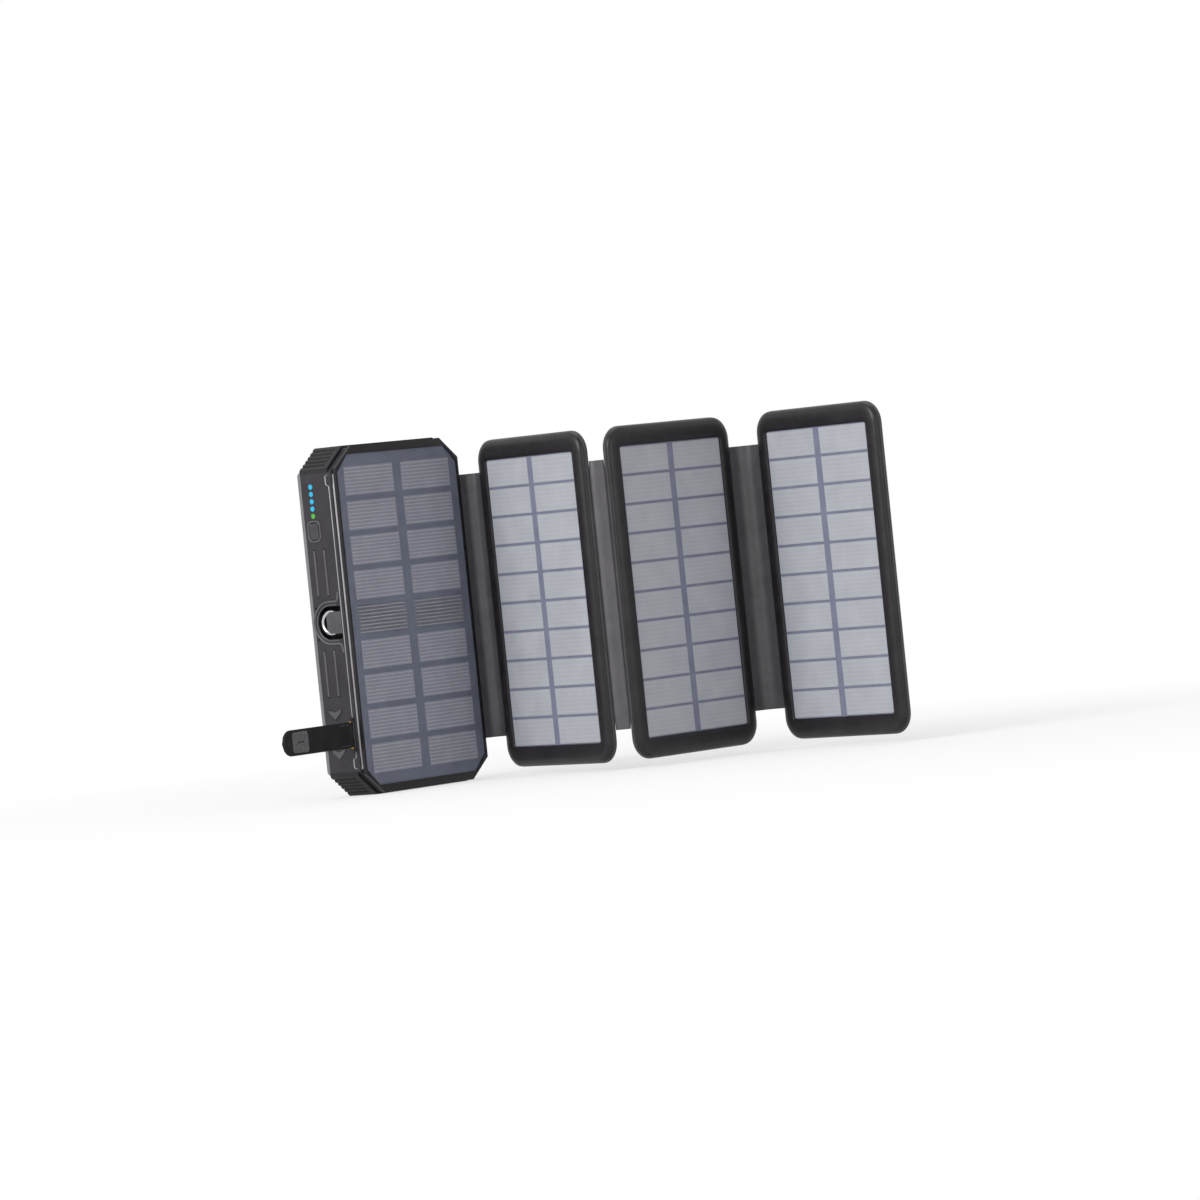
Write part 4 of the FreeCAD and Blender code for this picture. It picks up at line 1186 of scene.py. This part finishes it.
@dataclass
class SideTrim:
    """Raised trim on the side that holds the key and the lights."""

    side: float = -42.7 * MM
    key_margin: float = 0.75 * MM
    key_corner: float = 2.2 * MM
    rib_rows: tuple[float, float] = (5.1 * MM, -0.9 * MM)
    rib_spans: tuple[tuple[float, float], ...] = ((45.9, 66.6), (91.4, 112.1))
    arrow_levels: tuple[float, float] = (37.6 * MM, 19.6 * MM)
    arrow_middle: float = 2.1 * MM
    arrow_wide: float = 3.9
    arrow_tall: float = 2.4
    facet_front: float = -10.45 * MM
    facet_back: float = -7.4
    facet_steps: tuple[tuple[float, float], ...] = (
        (12.4, 0.2), (13.2, 1.9), (16.8, 1.8), (17.8, 0.0), (79.0, 0.0), (140.2, 0.0),
        (141.2, 1.8), (144.8, 1.9), (145.6, 0.2))

    def build(self, shop: Workshop) -> None:
        """Make the rim round the key, the ribs, the arrow heads and the facet.

        Args:
            shop: the workshop.
        """
        low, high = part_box("power_key")
        middle, level = (low.y + high.y) / 2, (low.z + high.z) / 2
        outline = rounded_box((high.y - low.y) / 2 + self.key_margin,
                              (high.z - low.z) / 2 + self.key_margin, self.key_corner)
        path = [Vector((self.side, middle + across, level + up)) for across, up in outline]
        rim = ribbon("key_rim", path, Vector((-1, 0, 0)), 0.9 * MM, 0.45 * MM, closed=True)
        # The key rim, ribs and arrow heads are lighter grey as a painted highlight.
        for name, mesh, finish, angle in (("key_rim", rim, "relief_highlight_grey", 50),
                                          ("side_ribs", self._ribs(), "relief_highlight_grey", 50),
                                          ("side_arrows", self._arrows(), "relief_highlight_grey", 40),
                                          ("front_facet", self._facet(), "facet_highlight_grey", 30)):
            shop.fasten(shop.piece(name, mesh, finish, angle), "unit")

    def _ribs(self) -> bpy.types.Mesh:
        """Fill the four upright grooves with soft ribs, lighter grey as a painted highlight.

        Returns:
            The ribs' mesh.
        """
        bars = []
        for across in self.rib_rows:
            for low, high in self.rib_spans:
                path = [Vector((self.side, across, (low + (high - low) * step / 10) * MM))
                        for step in range(11)]
                bars.append(ribbon("rib", path, Vector((-1, 0, 0)), 1.0 * MM, 0.36 * MM))
        return joined("side_ribs", bars)

    def _arrows(self) -> bpy.types.Mesh:
        """Raise the two crowned arrow heads above and below the strap.

        Returns:
            The arrow heads' mesh.
        """
        heads = []
        for level in self.arrow_levels:
            rings = []
            for inset, rise in ((0.0, -0.1), (0.0, 0.3), (0.22, 0.56), (0.5, 0.6)):
                wide = (self.arrow_wide - inset * 1.6) * MM
                tall = (self.arrow_tall - inset) * MM
                shape = ((-wide, tall), (0.0, tall * 0.42), (wide, tall), (wide * 0.9, tall * 0.3),
                         (0.0, -tall), (-wide * 0.9, tall * 0.3))
                rings.append([Vector((self.side - rise * MM, self.arrow_middle + across,
                                      level + up)) for across, up in shape])
            heads.append(loft("arrow", rings))
        return joined("side_arrows", heads)

    def _facet(self) -> bpy.types.Mesh:
        """Lay the facet along the front edge; its light grey is a painted highlight.

        Returns:
            The facet's mesh.
        """
        rings = []
        for level, widen in self.facet_steps:
            back = (self.facet_back + widen) * MM
            section = ((0.1 * MM, back), (-0.14 * MM, back - 0.1 * MM),
                       (1.12 * MM, self.facet_front), (1.6 * MM, self.facet_front),
                       (1.6 * MM, back))
            rings.append([Vector((self.side + inward, spot, level * MM))
                          for inward, spot in section])
        return loft("front_facet", rings)


@dataclass
class ChargingLeads:
    """Soft necks of the four leads, and the contacts on the flat plug."""

    names: tuple[str, ...] = ("usb_a", "eight_pin", "usb_c", "micro_usb")
    half_wide: float = 2.2 * MM
    thick: float = 2.0 * MM
    bend_half: float = 1.8 * MM
    neck: tuple[tuple[float, float], ...] = (
        (0.0, 3.2), (0.0, 0.0), (-0.15, -2.0), (-1.2, -3.6), (-3.4, -4.3))
    contact_pitch: float = 2.3 * MM
    contact_down: float = 4.4 * MM
    contact_half: float = 0.6 * MM
    contact_reach: tuple[float, ...] = (3.4 * MM, 2.9 * MM, 2.9 * MM, 3.4 * MM)

    def build(self, shop: Workshop) -> None:
        """Make the necks and the contacts.

        Args:
            shop: the workshop.
        """
        for name in self.names:
            hub = AXES[name + "_pull"]
            corners = [hub + Vector((0, back * MM, up * MM)) for back, up in self.neck]
            width = (Vector((-self.half_wide, 0, 0)), Vector((self.half_wide, 0, 0)))
            mesh = cloth_strip(name + "_neck", smooth_path(corners, 8), width, self.thick, 8)
            neck = shop.piece(name + "_neck", mesh, "lead_grey", 60)
            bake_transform(neck)
        self._contacts(shop)

    def _contacts(self, shop: Workshop) -> None:
        """Lay four gold contacts on the flat plug.

        Args:
            shop: the workshop.
        """
        low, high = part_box("usb_a_tip")
        middle = (low.x + high.x) / 2
        plates = []
        for number, reach in enumerate(self.contact_reach):
            spot = middle + (number - 1.5) * self.contact_pitch
            rings = []
            for inset, rise in ((0.0, -0.05), (0.0, 0.03), (0.1, 0.07)):
                outline = rounded_box(self.contact_half - inset * MM, reach - inset * MM,
                                      0.25 * MM, 3)
                rings.append([Vector((spot + across, high.y + rise * MM,
                                      high.z - self.contact_down + up))
                              for across, up in outline])
            plates.append(loft(f"contact_{number + 1}", rings))
        contacts = shop.piece("flat_plug_contacts", joined("flat_plug_contacts", plates),
                              "contact_gold", 40)
        shop.fasten(contacts, "usb_a_cable")


@dataclass
class BatteryUnit:
    """Fine pieces on the battery unit itself."""

    column_pitch: float = 38.8 * MM
    row_pitch: float = 15.7 * MM
    line_length: float = 32.4 * MM
    line_pitch: float = 1.62 * MM
    line_wide: float = 0.3 * MM
    line_rise: float = 0.05 * MM
    dot_pitch: float = 1.3 * MM
    dot_radius: float = 0.9 * MM
    dot_sunk: float = 0.8 * MM
    grip_across: float = 36.3 * MM
    grip_level: float = 82 * MM

    def build(self, shop: Workshop, lines: LineField, dots: DotField) -> None:
        """Make the printed lines and the raised dots of the grips.

        Args:
            shop: the workshop.
            lines: the printed line field.
            dots: the dot field.
        """
        low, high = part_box("main_solar_cells")
        centre = (low + high) / 2
        mesh = lines.mesh(
            "main_print", Matrix.Translation((centre.x, low.y - 0.03 * MM, centre.z)),
            Columns=2, Column_Pitch=self.column_pitch, Rows=9, Row_Pitch=self.row_pitch,
            Lines=8, Line_Pitch=self.line_pitch, Line_Length=self.line_length,
            Line_Rise=self.line_rise, Line_Width=self.line_wide,
            Material=shop.materials["print_line"])
        shop.fasten(shop.piece("main_print", mesh, "print_line"), "unit")
        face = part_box("rear_grip_pads")[1].y
        for sign, name in ((-1, "grip_dots_left"), (1, "grip_dots_right")):
            place = Matrix.Translation((sign * self.grip_across, face - self.dot_sunk,
                                        self.grip_level))
            mesh = dots.mesh(name, place, Columns=4, Rows=42, Pitch=self.dot_pitch,
                             Radius=self.dot_radius, Material=shop.materials["grip_dot"])
            shop.fasten(shop.piece(name, mesh, "grip_dot"), "unit")


PANELS = (FoldPanel(2, "first_fold_c", -104.9), FoldPanel(3, "second_fold_b", -2.3),
          FoldPanel(4, "third_fold_c", -100.8))
STRIPS = (
    FoldStrip("first_fold", ("unit", "first_inner", "first_outer", "panel_2"),
              ("first_fold_a", "first_fold_b", "first_fold_c"), -10.0, -104.9,
              ("first_hinge_inner_web", "first_hinge_outer_web")),
    FoldStrip("second_fold", ("panel_2", "spine", "panel_3"),
              ("second_fold_a", "second_fold_b"), -104.9, -2.3, ("second_hinge_spine",)),
    FoldStrip("third_fold", ("panel_3", "third_inner", "third_outer", "panel_4"),
              ("third_fold_a", "third_fold_b", "third_fold_c"), -2.3, -100.8,
              ("third_hinge_inner_web", "third_hinge_outer_web")))


def keep_sizes(stage: str, sizes: dict[str, list[list[float]]]) -> None:
    """Note the object's box under a name.

    Args:
        stage: the name of this moment.
        sizes: the notes so far.
    """
    low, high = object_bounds()
    sizes[stage] = [list(low), list(high)]


def main() -> None:
    """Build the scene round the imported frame."""
    logging.basicConfig(level=logging.INFO, format="%(name)s: %(message)s")
    sizes: dict[str, list[list[float]]] = {}
    keep_sizes("cad", sizes)
    Studio().build()
    shop = Workshop()
    shop.dress_nodes()
    lines, dots, stitches = LineField(), DotField(), StitchRow()
    BatteryUnit().build(shop, lines, dots)
    for panel in PANELS:
        panel.build(shop, lines)
    for strip in STRIPS:
        strip.build(shop)
    ClosingStrap().build(shop, stitches)
    LanyardBay().build(shop)
    SideTrim().build(shop)
    ChargingLeads().build(shop)
    keep_sizes("visual", sizes)


if __name__ == "__main__":
    main()
